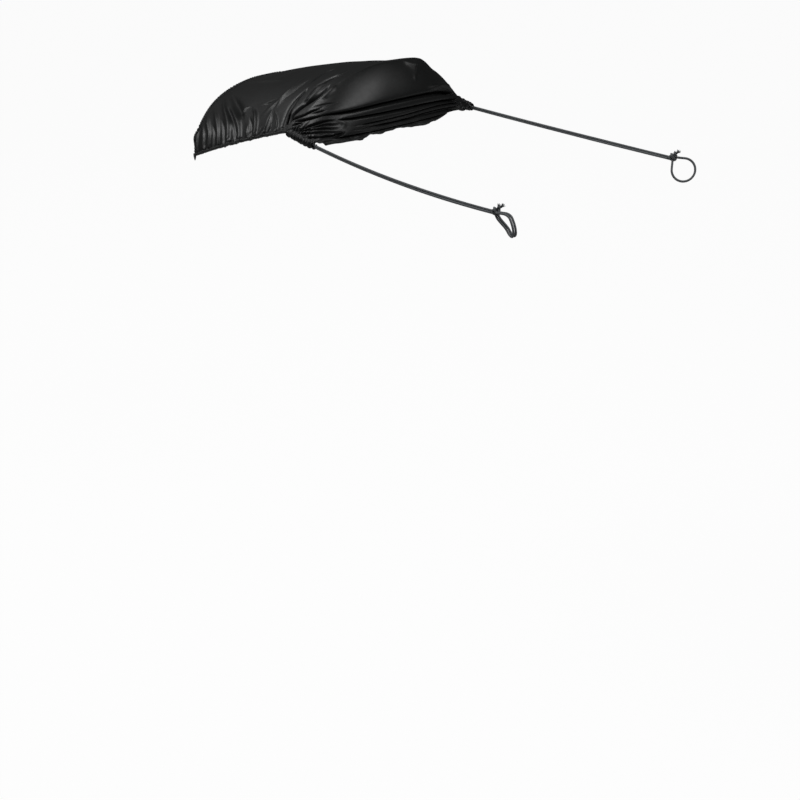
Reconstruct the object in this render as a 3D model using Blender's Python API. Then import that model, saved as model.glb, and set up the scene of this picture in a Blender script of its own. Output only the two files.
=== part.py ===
"""Pram sun shade: an elasticated cap for a hood, a gathered sail, and two doubled elastic cords.

Metres, +Z up. +X runs from the hood towards the handle, +Y from the near side to the far side.
The origin is the top middle of the hood's front rim, on the inside of the cap's cloth.
"""

import math

import bmesh
import bpy
import numpy as np

CLEARANCE = 0.0003
CLOTH_THICKNESS = 0.0010
SIDES = {"near": -1, "far": 1}

# Cap: the arch of the hood that it is pulled over, at its front rim and at its rear edge.
RIM_HALF_WIDTH = 0.198
REAR_HALF_WIDTH = 0.199
RIM_SHOULDER_DROP = 0.157
REAR_SHOULDER_DROP = 0.169
RIM_SQUARENESS = 1.9
REAR_SQUARENESS = 2.2
ROOF_SLOPE = 0.132
ROOF_BEND = 0.374
ROOF_DIP = 0.006
CAP_SIDE_REAR_X = -0.322
CAP_SIDE_FRONT_X = -0.043
REAR_CROWN_REACH = 0.043
FRONT_CROWN_REACH = 0.055
REAR_HEM_ABOVE_FOOT = 0.044
RIM_HEM_HEIGHT = -0.0915
CAP_ROWS = 32
CAP_COLUMNS = 18
SIDE_FOLDS = 9
SIDE_FOLD_HEIGHT = 0.0028
SIDE_FOLD_START = 0.5

# Hem casings and the elastics in them.
CASING_RADIUS = 0.0030
CASING_WALL = 0.0010
CASING_SIDES = 8
ELASTIC_SIDES = 6
SIDE_HEM_STEPS = 22
REAR_HEM_STEPS = 30
SIDE_HEM_END = 0.955
TAIL_LENGTH = 0.013
TAIL_TIP_RADIUS = 0.0007

# Cords: doubled round elastic, one pair on each side.
CORD_DIAMETER = 0.0034
CORD_HALF_SPACING = 0.185
CORD_START_X = -0.0100
CORD_START_HEIGHT = {"near": -0.0955, "far": -0.1085}
KNOT_START_X = {"near": 0.506, "far": 0.5045}
CORD_END_HEIGHT = {"near": -0.0820, "far": -0.0788}
CORD_SAG = {"near": 0.0112, "far": 0.0012}
CORD_POINTS = 20
CORD_BEVEL_RESOLUTION = 2

# Anchors: the sewn stubs that hold the folded cords in the cap's front corners.
ANCHOR_RADIUS = 0.0042
ANCHOR_SIDES = 10
ANCHOR_CLEARANCE = 0.0006
ANCHOR_STUB = 0.0030

# Sleeves: the sail's side edges, bunched on the cords.
SLEEVE_REAR_X = -0.0070
SLEEVE_LENGTH = {"near": 0.066, "far": 0.036}
SLEEVE_RADIUS = 0.0072
SLEEVE_MOUTH_RADIUS = 0.0058
SLEEVE_RUFFLES = 7
SLEEVE_RUFFLE_HEIGHT = 0.0009
SLEEVE_SIDES = 12
SLEEVE_STEPS = 22
SLEEVE_BORE_CLEARANCE = 0.0004
SAIL_SEAT_ANGLE = 60.0

# Sail: gathered between the sleeves, with long folds across.
SAIL_RIM_GAP = 0.0005
SAIL_BULGE = 0.018
SAIL_FRONT_BOW = 0.006
SAIL_HEM_SAG = 0.0115
SAIL_FULLNESS = 0.8
SAIL_ROWS = 26
SAIL_COLUMNS = 22
SAIL_VALLEYS = (0.40, 0.59, 0.735, 0.84)
SAIL_VALLEY_DEPTH = 0.0075
SAIL_VALLEY_WIDTH = 0.042
FRONT_HEM_WIDTH = 0.007
FRONT_HEM_THICKNESS = 0.0022
FRONT_HEM_STEPS = 30

# Loops round a handle tube, their knots and the cut cord ends.
HANDLE_TUBE_DIAMETER = 0.032
LOOP_TURN = {"near": 24.0, "far": 46.0}
HANDLE_ARM_SLOPE = 0.62
LOOP_KNOT_ANGLE = {"near": 34.0, "far": 28.0}
LOOP_REACH = {"near": 0.026, "far": 0.026}
LOOP_SLANT = {"near": 0.010, "far": 0.002}
LOOP_END_GAP = 0.0009
LOOP_POINTS = 22
KNOT_LENGTH = 0.0125
KNOT_LIFT = 0.0030
KNOT_RADIUS = 0.0062
KNOT_BLUNTNESS = 2.6
KNOT_RIDGES = 3
KNOT_RIDGE_HEIGHT = 0.0007
KNOT_SEGMENTS = 16
KNOT_RINGS = 12
CORD_END_LENGTH = 0.009
CORD_END_LEAN = 18.0
CORD_END_SPREAD = {"upper": 34.0, "lower": -10.0}
CORD_END_GAP = 0.0004

STEP = 1e-4


def clear_scene():
    """Remove the objects that an opened file starts with."""
    for item in list(bpy.data.objects):
        bpy.data.objects.remove(item, do_unlink=True)


def make_material(name, colour, roughness):
    """Return a Principled material with a piece's colour and roughness."""
    material = bpy.data.materials.new(name)
    material.use_nodes = True
    shader = material.node_tree.nodes["Principled BSDF"]
    shader.inputs["Base Color"].default_value = (*colour, 1.0)
    shader.inputs["Roughness"].default_value = roughness
    shader.inputs["Metallic"].default_value = 0.0
    return material


def mix(start, end, share):
    """Return the value that lies share of the way from start to end."""
    return start + (end - start) * share


def unit(vector):
    """Return the vector with a length of one."""
    vector = np.asarray(vector, dtype=float)
    return vector / np.linalg.norm(vector)


def add_mesh(name, points, faces, material, smooth=True):
    """Add one closed mesh object, with its faces turned outwards."""
    mesh = bpy.data.meshes.new(name)
    mesh.from_pydata([tuple(point) for point in points], [], faces)
    body = bmesh.new()
    body.from_mesh(mesh)
    bmesh.ops.triangulate(body, faces=body.faces)
    bmesh.ops.recalc_face_normals(body, faces=body.faces)
    body.to_mesh(mesh)
    body.free()
    if smooth:
        mesh.shade_smooth()
    mesh.materials.append(material)
    item = bpy.data.objects.new(name, mesh)
    bpy.context.scene.collection.objects.link(item)
    return item


def grid_normals(grid):
    """Return a unit normal for each point of a grid of rows and columns."""
    along = np.gradient(grid, axis=0)
    across = np.gradient(grid, axis=1)
    normals = np.cross(along, across)
    return normals / np.linalg.norm(normals, axis=2, keepdims=True)


def panel(name, inner, thickness, material):
    """Add a sheet of cloth as a closed solid, from its inner face outwards."""
    rows, columns = inner.shape[:2]
    outer = inner + grid_normals(inner) * thickness
    points = np.concatenate([inner.reshape(-1, 3), outer.reshape(-1, 3)])

    def index(layer, row, column):
        return layer * rows * columns + row * columns + column

    faces = []
    for layer in (0, 1):
        for row in range(rows - 1):
            for column in range(columns - 1):
                faces.append(
                    (
                        index(layer, row, column),
                        index(layer, row, column + 1),
                        index(layer, row + 1, column + 1),
                        index(layer, row + 1, column),
                    )
                )
    border = [(0, column) for column in range(columns)]
    border += [(row, columns - 1) for row in range(1, rows)]
    border += [(rows - 1, column) for column in range(columns - 2, -1, -1)]
    border += [(row, 0) for row in range(rows - 2, 0, -1)]
    for here, after in zip(border, border[1:] + border[:1]):
        faces.append((index(0, *here), index(0, *after), index(1, *after), index(1, *here)))
    return add_mesh(name, points, faces, material)


def path_frames(path):
    """Return two directions square to a path at each of its points, turned as little as possible."""
    tangents = np.gradient(path, axis=0)
    tangents /= np.linalg.norm(tangents, axis=1, keepdims=True)
    first = np.cross(tangents[0], (0.0, 0.0, 1.0))
    if np.linalg.norm(first) < 0.3:
        first = np.cross(tangents[0], (1.0, 0.0, 0.0))
    sides = [unit(first)]
    for tangent in tangents[1:]:
        sides.append(unit(sides[-1] - tangent * np.dot(sides[-1], tangent)))
    sides = np.array(sides)
    return sides, np.cross(tangents, sides)


def rings_along(path, radii, count):
    """Return a ring of count points round each point of a path."""
    first, second = path_frames(path)
    angles = np.linspace(0.0, math.tau, count, endpoint=False)
    spokes = first[:, None] * np.cos(angles)[None, :, None]
    spokes = spokes + second[:, None] * np.sin(angles)[None, :, None]
    return path[:, None] + spokes * np.asarray(radii, dtype=float).reshape(len(path), -1, 1)


def skin_faces(rings, count, offset=0):
    """Return the faces between neighbouring rings."""
    faces = []
    for ring in range(rings - 1):
        for spot in range(count):
            after = (spot + 1) % count
            low = offset + ring * count
            faces.append((low + spot, low + after, low + count + after, low + count + spot))
    return faces


def solid_tube(name, path, radii, count, material):
    """Add a solid tube with flat ends along a path."""
    rings = rings_along(path, radii, count)
    faces = skin_faces(len(path), count)
    last = (len(path) - 1) * count
    faces.append(tuple(range(count)))
    faces.append(tuple(last + spot for spot in range(count)))
    return add_mesh(name, rings.reshape(-1, 3), faces, material)


def hollow_tube(name, path, radii, bore_radius, count, material):
    """Add a tube that is open at both ends, with a bore of one radius."""
    outside = rings_along(path, radii, count)
    bore = rings_along(path, np.full(len(path), bore_radius), count)
    points = np.concatenate([outside.reshape(-1, 3), bore.reshape(-1, 3)])
    half = len(path) * count
    faces = skin_faces(len(path), count) + skin_faces(len(path), count, half)
    for low in (0, (len(path) - 1) * count):
        for spot in range(count):
            after = (spot + 1) % count
            faces.append((low + spot, low + after, half + low + after, half + low + spot))
    return add_mesh(name, points, faces, material)


def cord_tube(name, path, material):
    """Add a round cord as a curve with a bevel and filled caps."""
    curve = bpy.data.curves.new(name, "CURVE")
    curve.dimensions = "3D"
    curve.bevel_depth = CORD_DIAMETER / 2
    curve.bevel_resolution = CORD_BEVEL_RESOLUTION
    curve.use_fill_caps = True
    spline = curve.splines.new("POLY")
    spline.points.add(len(path) - 1)
    for point, place in zip(spline.points, path):
        point.co = (*place, 1.0)
    curve.materials.append(material)
    item = bpy.data.objects.new(name, curve)
    bpy.context.scene.collection.objects.link(item)
    return item


def roof_height(x):
    """Return the height of the hood's crown line at x."""
    return ROOF_SLOPE * x - ROOF_BEND * x * x


def arch_point(along, rise):
    """Return x, half width and height on the hood, at a share of the cap's length and of its arch."""
    drop = mix(REAR_SHOULDER_DROP, RIM_SHOULDER_DROP, along)
    squareness = mix(REAR_SQUARENESS, RIM_SQUARENESS, along)
    half_width = mix(REAR_HALF_WIDTH, RIM_HALF_WIDTH, along)
    rear_x = CAP_SIDE_REAR_X - REAR_CROWN_REACH * rise
    front_x = CAP_SIDE_FRONT_X + FRONT_CROWN_REACH * rise
    x = mix(rear_x, front_x, along)
    dip = ROOF_DIP * math.sin(math.pi * min(max(along, 0.0), 1.0))
    z = roof_height(x) - dip - drop * (1.0 - rise)
    y = half_width * (1.0 - rise**squareness) ** (1.0 / squareness)
    return x, y, z


def rim_rise_at(height):
    """Return the rise of the rim's arch that lies at this height."""
    rise = 0.4
    for _ in range(12):
        z = arch_point(1.0, rise)[2]
        rise += (height - z) / RIM_SHOULDER_DROP
    return rise


RIM_HEM_RISE = rim_rise_at(RIM_HEM_HEIGHT)
REAR_HEM_RISE = REAR_HEM_ABOVE_FOOT / REAR_SHOULDER_DROP


def cap_point(along, across):
    """Return a point of the cap's inner face: along from rear to rim, across from -1 near to 1 far."""
    hem_rise = mix(REAR_HEM_RISE, RIM_HEM_RISE, along)
    squareness = mix(REAR_SQUARENESS, RIM_SQUARENESS, along)
    hem_turn = math.acos(hem_rise ** (squareness / 2.0))
    turn = hem_turn * abs(across)
    rise = math.cos(turn) ** (2.0 / squareness)
    x, y, z = arch_point(along, rise)
    return np.array([x, math.copysign(y, across) if across else 0.0, z])


def cap_direction(along, across, step_along, step_across):
    """Return the unit direction on the cap for a small step along and across."""
    ahead = cap_point(along + step_along * STEP, across + step_across * STEP)
    return unit(ahead - cap_point(along, across))


def edge_offset(along, across, away, edge):
    """Return the direction that leads off the cap, square to its edge, for steps away and along the edge."""
    leaving = cap_direction(along, across, *away)
    edge = cap_direction(along, across, *edge)
    return unit(leaving - edge * np.dot(leaving, edge))


def cap_grid():
    """Return the cap's inner face, with the upright folds that its elastic hems draw in."""
    rows = np.linspace(0.0, 1.0, CAP_ROWS)
    columns = np.linspace(-1.0, 1.0, CAP_COLUMNS)
    grid = np.array([[cap_point(along, across) for across in columns] for along in rows])
    reach = np.clip((np.abs(columns) - SIDE_FOLD_START) / (1.0 - SIDE_FOLD_START), 0.0, 1.0)
    waves = 0.5 - 0.5 * np.cos(math.tau * SIDE_FOLDS * rows)
    height = SIDE_FOLD_HEIGHT * waves[:, None] * np.sin(math.pi * reach)[None, :]
    return grid + grid_normals(grid) * height[:, :, None]


def build_cap(cloth):
    """Add the cap that is pulled over the hood."""
    panel("cap_panel", cap_grid(), CLOTH_THICKNESS, cloth)


def side_hem_path(side, offset, start, end, steps):
    """Return the line that runs below the cap's side edge at an offset."""
    path = []
    for along in np.linspace(start, end, steps):
        down = edge_offset(along, side, (0.0, side), (-1.0, 0.0))
        outwards = np.array([0.0, side * CLOTH_THICKNESS / 2, 0.0])
        path.append(cap_point(along, side) + down * offset + outwards)
    return np.array(path)


def rear_hem_path():
    """Return the line that runs behind the cap's rear edge."""
    offset = CASING_RADIUS + CLEARANCE
    path = []
    for across in np.linspace(-1.0, 1.0, REAR_HEM_STEPS):
        inwards = -1.0 if across > 0.0 else 1.0
        back = edge_offset(0.0, across, (-1.0, 0.0), (0.0, inwards))
        path.append(cap_point(0.0, across) + back * offset)
    return np.array(path)


def build_casing(name, elastic_name, path, cloth, rubber):
    """Add a hem casing and the elastic that runs in it."""
    bore = CASING_RADIUS - CASING_WALL
    hollow_tube(name, path, np.full(len(path), CASING_RADIUS), bore, CASING_SIDES, cloth)
    elastic_radius = bore * math.cos(math.pi / CASING_SIDES) - CLEARANCE
    radii = np.full(len(path), elastic_radius)
    solid_tube(elastic_name, path, radii, ELASTIC_SIDES, rubber)


def build_hems(cloth, rubber):
    """Add the side hems, the rear hem, their elastics and the rear corner tails."""
    offset = CASING_RADIUS + CLEARANCE
    build_casing("rear_hem", "rear_elastic", rear_hem_path(), cloth, rubber)
    for word, side in SIDES.items():
        path = side_hem_path(side, offset, 0.0, SIDE_HEM_END, SIDE_HEM_STEPS)
        build_casing(f"{word}_side_hem", f"{word}_side_elastic", path, cloth, rubber)
        corner = cap_point(0.0, side)
        back = edge_offset(0.0, side, (-1.0, 0.0), (0.0, -side))
        down = cap_direction(0.0, side, 0.0, side)
        start = corner + back * offset + down * CLEARANCE
        tail = np.array([start + down * TAIL_LENGTH * share for share in (0.0, 0.35, 1.0)])
        radii = [CASING_RADIUS, CASING_RADIUS * 0.8, TAIL_TIP_RADIUS]
        solid_tube(f"{word}_rear_tail", tail, radii, CASING_SIDES, cloth)


def cord_line(word, x):
    """Return the middle of the doubled cord at x."""
    share = (x - CORD_START_X) / (KNOT_START_X[word] - CORD_START_X)
    height = mix(CORD_START_HEIGHT[word], CORD_END_HEIGHT[word], share)
    sag = 4.0 * CORD_SAG[word] * share * (1.0 - share)
    return np.array([x, SIDES[word] * CORD_HALF_SPACING, height - sag])


def sleeve_mouth(word):
    """Return the x of a sleeve's front end."""
    return SLEEVE_REAR_X + SLEEVE_LENGTH[word]


def build_anchor(word, cloth):
    """Add the stub that joins the side hem to the folded end of the cord."""
    side = SIDES[word]
    path = side_hem_path(side, ANCHOR_RADIUS + ANCHOR_CLEARANCE, SIDE_HEM_END, 1.0, 3)
    start = path[0] + unit(path[1] - path[0]) * CLEARANCE * 2
    tip_x = CORD_START_X - CLEARANCE
    stub = [cord_line(word, tip_x - ANCHOR_STUB), cord_line(word, tip_x)]
    path = np.array([start, path[1], path[2], *stub])
    radii = np.full(len(path), ANCHOR_RADIUS)
    solid_tube(f"{word}_cord_anchor", path, radii, ANCHOR_SIDES, cloth)


def build_cords(word, elastic):
    """Add the two strands of a doubled cord, from the anchor to the knot."""
    spacing = (CORD_DIAMETER + CLEARANCE) / 2
    places = np.linspace(CORD_START_X, KNOT_START_X[word], CORD_POINTS)
    for strand, way in (("upper", 1), ("lower", -1)):
        path = [cord_line(word, x) + (0.0, 0.0, way * spacing) for x in places]
        cord_tube(f"{word}_cord_{strand}", path, elastic)


def sleeve_radius(share):
    """Return the sleeve's outer radius at a share of its length, with its ruffles."""
    swell = math.sin(math.pi * share) ** 0.6
    ruffle = 0.5 - 0.5 * math.cos(math.tau * SLEEVE_RUFFLES * share)
    return mix(SLEEVE_MOUTH_RADIUS, SLEEVE_RADIUS, swell) + SLEEVE_RUFFLE_HEIGHT * ruffle


def build_sleeve(word, cloth):
    """Add the bunched side edge of the sail, which slides on the doubled cord."""
    shares = np.linspace(0.0, 1.0, SLEEVE_STEPS)
    path = np.array([cord_line(word, mix(SLEEVE_REAR_X, sleeve_mouth(word), share)) for share in shares])
    pair_half_height = CORD_DIAMETER + CLEARANCE / 2
    bore = (pair_half_height + SLEEVE_BORE_CLEARANCE) / math.cos(math.pi / SLEEVE_SIDES)
    radii = [sleeve_radius(share) for share in shares]
    hollow_tube(f"{word}_sail_sleeve", path, radii, bore, SLEEVE_SIDES, cloth)


def sail_seat(word, x):
    """Return the line on the sleeve's upper inner flank that carries the sail."""
    reach = SLEEVE_RADIUS + SLEEVE_RUFFLE_HEIGHT + CLEARANCE
    angle = math.radians(SAIL_SEAT_ANGLE)
    inwards = -SIDES[word] * reach * math.cos(angle)
    line = cord_line(word, min(x, sleeve_mouth(word)))
    return np.array([x, line[1] + inwards, line[2] + reach * math.sin(angle)])


def rim_point(share):
    """Return the sail's rear edge in front of the rim, share from 0 near to 1 far."""
    word = "near" if share < 0.5 else "far"
    rise = rim_rise_at(max(sail_seat(word, SLEEVE_REAR_X)[2], RIM_HEM_HEIGHT))
    end_turn = math.acos(rise ** (RIM_SQUARENESS / 2.0))
    turn = end_turn * abs(2.0 * share - 1.0)
    x, y, z = arch_point(1.0, math.cos(turn) ** (2.0 / RIM_SQUARENESS))
    return np.array([x + SAIL_RIM_GAP, math.copysign(y, share - 0.5), z])


def hem_point(share):
    """Return the sail's front edge, from the near sleeve's mouth to the far one's."""
    near = sail_seat("near", sleeve_mouth("near"))
    far = sail_seat("far", sleeve_mouth("far"))
    swell = math.sin(math.pi * share)
    return mix(near, far, share) + (SAIL_FRONT_BOW * swell, 0.0, -SAIL_HEM_SAG * swell)


def sail_surface(down, share):
    """Return a point of the sail without its folds: down from the rim to the front edge."""
    near_rim = rim_point(0.0)
    far_rim = rim_point(1.0)
    near_side = sail_seat("near", mix(near_rim[0], sleeve_mouth("near"), down))
    far_side = sail_seat("far", mix(far_rim[0], sleeve_mouth("far"), down))
    near_side[1:] += (near_rim - sail_seat("near", near_rim[0]))[1:] * (1.0 - down)
    far_side[1:] += (far_rim - sail_seat("far", far_rim[0]))[1:] * (1.0 - down)
    ruled = mix(rim_point(share), hem_point(share), down)
    ends = mix(mix(near_rim, hem_point(0.0), down), mix(far_rim, hem_point(1.0), down), share)
    return ruled + mix(near_side, far_side, share) - ends


def sail_grid(downs, shares):
    """Return the sail's inner face, with its bulge and its long folds."""
    grid = np.array([[sail_surface(down, share) for share in shares] for down in downs])
    normals = grid_normals(grid)
    spread = np.sin(math.pi * np.asarray(shares)) ** SAIL_FULLNESS
    bulge = SAIL_BULGE * np.sin(math.pi * np.minimum(downs, 1.0)) ** 0.8
    valleys = np.zeros(len(downs))
    for place in SAIL_VALLEYS:
        valleys += np.exp(-(((downs - place) / SAIL_VALLEY_WIDTH) ** 2))
    height = (bulge - SAIL_VALLEY_DEPTH * valleys)[:, None] * spread[None, :]
    return grid + normals * height[:, :, None]


def build_sail(cloth):
    """Add the gathered sail."""
    downs = np.linspace(0.0, 1.0, SAIL_ROWS)
    shares = np.linspace(0.0, 1.0, SAIL_COLUMNS)
    panel("sail_panel", sail_grid(downs, shares), CLOTH_THICKNESS, cloth)


def build_front_hem(cloth):
    """Add the turned hem along the sail's front edge."""
    half_span = CORD_HALF_SPACING - SLEEVE_MOUTH_RADIUS - 4 * CLEARANCE
    first = 0.5 - half_span / (2.0 * abs(hem_point(0.0)[1]))
    shares = np.linspace(first, 1.0 - first, FRONT_HEM_STEPS)
    edge = sail_grid(np.array([1.0 - STEP, 1.0]), shares)
    ahead = edge[1] - edge[0]
    ahead /= np.linalg.norm(ahead, axis=1, keepdims=True)
    near_row = edge[1] + ahead * CLEARANCE * 2
    far_row = near_row + ahead * FRONT_HEM_WIDTH
    panel("front_hem", np.array([near_row, far_row]), FRONT_HEM_THICKNESS, cloth)


def loop_axes(word):
    """Return the handle tube's axis at a loop, and the loop's two directions square to it."""
    turn = math.radians(LOOP_TURN[word])
    arm = unit((-1.0, 0.0, -HANDLE_ARM_SLOPE))
    axis = unit(np.array([0.0, SIDES[word] * math.cos(turn), 0.0]) + arm * math.sin(turn))
    backwards = np.array([-1.0, 0.0, 0.0])
    backwards = unit(backwards - axis * np.dot(backwards, axis))
    upwards = np.cross(axis, backwards)
    return axis, backwards, upwards * math.copysign(1.0, upwards[2])


def knot_middle(word):
    """Return the middle of a knot, at the end of the taut cord."""
    ahead = CLEARANCE + KNOT_LENGTH / 2
    return cord_line(word, KNOT_START_X[word]) + (ahead, 0.0, KNOT_LIFT)


def loop_path(word, shift):
    """Return a strand of a loop: from the knot round the handle tube and back, shifted along its axis."""
    axis, backwards, upwards = loop_axes(word)
    radius = (HANDLE_TUBE_DIAMETER + CORD_DIAMETER) / 2 + CLEARANCE
    reach = LOOP_REACH[word]
    start = math.radians(LOOP_KNOT_ANGLE[word])
    knot = knot_middle(word)
    middle = knot - (backwards * math.cos(start) + upwards * math.sin(start)) * reach
    leave = math.acos(radius / reach)
    leg = math.sqrt(reach * reach - radius * radius) - KNOT_RADIUS - LOOP_END_GAP
    first = leave - math.atan(leg / radius)
    path = []
    for turn in np.linspace(first, math.tau - first, LOOP_POINTS):
        from_knot = min(turn, math.tau - turn)
        spread = radius / math.cos(leave - from_knot) if from_knot < leave else radius
        ease = min(from_knot / (2.0 * leave), 1.0)
        slant = LOOP_SLANT[word] * ease * ease * (3.0 - 2.0 * ease)
        spoke = backwards * math.cos(start + turn) + upwards * math.sin(start + turn)
        path.append(middle + spoke * spread + axis * (shift - slant))
    return path


def build_loop(word, elastic):
    """Add the two strands of a loop."""
    spacing = (CORD_DIAMETER + CLEARANCE) / 2
    cord_tube(f"{word}_loop_inner", loop_path(word, -spacing), elastic)
    cord_tube(f"{word}_loop_outer", loop_path(word, spacing), elastic)


def knot_radius(angle, share):
    """Return a knot's radius before it rounds off, at an angle and at a share of its half length."""
    ridge = KNOT_RIDGE_HEIGHT * math.cos(KNOT_RIDGES * angle + 2.0 * share)
    return KNOT_RADIUS - KNOT_RIDGE_HEIGHT + ridge


def build_knot(word, elastic):
    """Add a knot as one rounded solid with slanting ridges."""
    middle = knot_middle(word)
    points = []
    for ring in range(1, KNOT_RINGS):
        share = -math.cos(math.pi * ring / KNOT_RINGS)
        waist = (1.0 - abs(share) ** KNOT_BLUNTNESS) ** (1.0 / KNOT_BLUNTNESS)
        for spot in range(KNOT_SEGMENTS):
            angle = math.tau * spot / KNOT_SEGMENTS
            radius = knot_radius(angle, share) * waist
            offset = (
                share * KNOT_LENGTH / 2,
                radius * math.cos(angle),
                radius * math.sin(angle),
            )
            points.append(middle + offset)
    faces = skin_faces(KNOT_RINGS - 1, KNOT_SEGMENTS)
    last = (KNOT_RINGS - 2) * KNOT_SEGMENTS
    points.append(middle - (KNOT_LENGTH / 2, 0.0, 0.0))
    points.append(middle + (KNOT_LENGTH / 2, 0.0, 0.0))
    rear_pole = len(points) - 2
    for spot in range(KNOT_SEGMENTS):
        after = (spot + 1) % KNOT_SEGMENTS
        faces.append((spot, after, rear_pole))
        faces.append((last + spot, last + after, rear_pole + 1))
    add_mesh(f"{word}_knot", points, faces, elastic)


def build_cord_ends(word, elastic):
    """Add the two short cut ends that stand up from a knot."""
    middle = knot_middle(word)
    lean = math.radians(CORD_END_LEAN)
    for strand, spread in CORD_END_SPREAD.items():
        sideways = -SIDES[word] * math.sin(math.radians(spread))
        direction = unit((math.sin(lean), sideways, math.cos(lean) * math.cos(math.radians(spread))))
        around = math.atan2(direction[2], direction[1])
        radius = knot_radius(around, 2.0 * KNOT_RADIUS * direction[0] / KNOT_LENGTH)
        lengthwise = abs(2.0 * direction[0] / KNOT_LENGTH) ** KNOT_BLUNTNESS
        crosswise = (math.hypot(direction[1], direction[2]) / radius) ** KNOT_BLUNTNESS
        reach = (lengthwise + crosswise) ** (-1.0 / KNOT_BLUNTNESS)
        start = middle + direction * (reach + CORD_END_GAP)
        path = [start + direction * CORD_END_LENGTH * share for share in (0.0, 0.5, 1.0)]
        cord_tube(f"{word}_cord_end_{strand}", path, elastic)


def main():
    """Build the sun shade."""
    clear_scene()
    cloth = make_material("woven_polyester", (0.012, 0.013, 0.013), 0.62)
    binding = make_material("hem_binding", (0.009, 0.010, 0.010), 0.75)
    rubber = make_material("flat_elastic", (0.02, 0.02, 0.02), 0.8)
    elastic = make_material("braided_elastic_cord", (0.075, 0.08, 0.085), 0.85)
    build_cap(cloth)
    build_hems(binding, rubber)
    build_sail(cloth)
    build_front_hem(binding)
    for word in SIDES:
        build_anchor(word, binding)
        build_sleeve(word, cloth)
        build_cords(word, elastic)
        build_loop(word, elastic)
        build_knot(word, elastic)
        build_cord_ends(word, elastic)


main()
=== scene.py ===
"""A pram sun shade: a woven polyester cover, its gathered sail and two doubled elastic cords.

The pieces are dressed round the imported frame, in metres. +Z is up, +X runs from the hood towards
the handle and +Y from the near side to the far side.
"""

from __future__ import annotations

import logging
import math
from collections.abc import Callable, Mapping, Sequence
from dataclasses import dataclass, field, replace
from enum import Enum

import bpy
import numpy as np
from mathutils import Matrix


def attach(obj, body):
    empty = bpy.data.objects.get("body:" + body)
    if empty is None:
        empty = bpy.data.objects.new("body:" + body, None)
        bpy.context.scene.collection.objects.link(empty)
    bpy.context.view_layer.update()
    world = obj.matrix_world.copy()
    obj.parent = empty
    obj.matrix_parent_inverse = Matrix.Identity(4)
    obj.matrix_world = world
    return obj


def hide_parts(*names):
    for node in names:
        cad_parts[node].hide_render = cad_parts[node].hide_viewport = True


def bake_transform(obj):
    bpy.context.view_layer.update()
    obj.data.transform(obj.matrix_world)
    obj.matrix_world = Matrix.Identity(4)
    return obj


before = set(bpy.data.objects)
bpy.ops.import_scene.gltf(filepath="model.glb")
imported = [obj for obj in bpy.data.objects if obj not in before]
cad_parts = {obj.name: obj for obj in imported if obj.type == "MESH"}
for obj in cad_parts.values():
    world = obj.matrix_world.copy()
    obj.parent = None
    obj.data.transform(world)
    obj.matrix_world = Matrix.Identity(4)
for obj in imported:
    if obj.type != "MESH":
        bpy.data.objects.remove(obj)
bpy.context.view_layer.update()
LOG = logging.getLogger("sun_shade")

Array = np.ndarray
Point = tuple[float, float, float]
COVER = "cover"
SAIL_FRONT = "sail_front"
CORD_SLOT = "braided_elastic_cord"
HEM_SLOT = "hem_binding"
CLOTH_UV = "cloth"
CORD_UV = "cord"
MM = 0.001
# Blender's wave texture multiplies its coordinate by this number before it takes the sine.
WAVE_FACTOR = 20.0


class Side(Enum):
    """The two sides of the shade, with their sign along Y."""

    NEAR = -1
    FAR = 1

    @property
    def word(self) -> str:
        """The side's name in the frame."""
        return self.name.lower()

    @property
    def tip(self) -> str:
        """The body at the far end of this side's cord."""
        return f"{self.word}_cord_tip"


class Strand(Enum):
    """The two strands of a doubled cord, with their sign along Z."""

    UPPER = 1
    LOWER = -1

    @property
    def word(self) -> str:
        """The strand's name in the frame."""
        return self.name.lower()


def mix(start: float | Array, end: float | Array, share: float | Array) -> float | Array:
    """Return the value that lies share of the way from start to end."""
    return start + (end - start) * share


def unit(vector: Sequence[float]) -> Array:
    """Return the vector with a length of one."""
    vector = np.asarray(vector, dtype=float)
    return vector / np.linalg.norm(vector)


def smoothstep(low: float, high: float, value: Array) -> Array:
    """Return 0 below low and 1 above high, with a smooth rise between them."""
    share = np.clip((np.asarray(value, dtype=float) - low) / (high - low), 0.0, 1.0)
    return share * share * (3.0 - 2.0 * share)


def scatter(seed: float) -> float:
    """Return a value from 0 to 1 that looks random and is always the same for a seed."""
    value = math.sin(seed * 12.9898 + 4.1414) * 43758.5453
    return value - math.floor(value)


def linear(code: str) -> tuple[float, float, float, float]:
    """Turn an sRGB hex colour into a linear colour with full alpha.

    Args:
        code: The colour, such as #0c0d0d.

    Returns:
        Its linear red, green and blue, and an alpha of one.
    """
    channels = [int(code[i : i + 2], 16) / 255.0 for i in (1, 3, 5)]
    bent = [c / 12.92 if c <= 0.04045 else ((c + 0.055) / 1.055) ** 2.4 for c in channels]
    return (*bent, 1.0)


def wave_scale(spacing_mm: float) -> float:
    """Return the wave texture's scale for bands that lie a number of millimetres apart."""
    return math.tau / (spacing_mm * MM) / WAVE_FACTOR


def add_node(
    tree: bpy.types.NodeTree,
    kind: str,
    settings: Mapping[str | int, object] | None = None,
    links: Mapping[str | int, bpy.types.NodeSocket] | None = None,
) -> bpy.types.Node:
    """Add one shader node.

    Args:
        tree: The node tree that it goes in.
        kind: Its type, without the word ShaderNode.
        settings: Values by the name of an attribute, or by the name or number of an input.
        links: Output sockets by the name or number of the input that they feed.

    Returns:
        The new node.
    """
    node = tree.nodes.new("ShaderNode" + kind)
    for name, value in (settings or {}).items():
        if isinstance(name, int) or name in node.inputs:
            node.inputs[name].default_value = value
        else:
            setattr(node, name, value)
    for name, socket in (links or {}).items():
        tree.links.new(socket, node.inputs[name])
    return node


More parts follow.
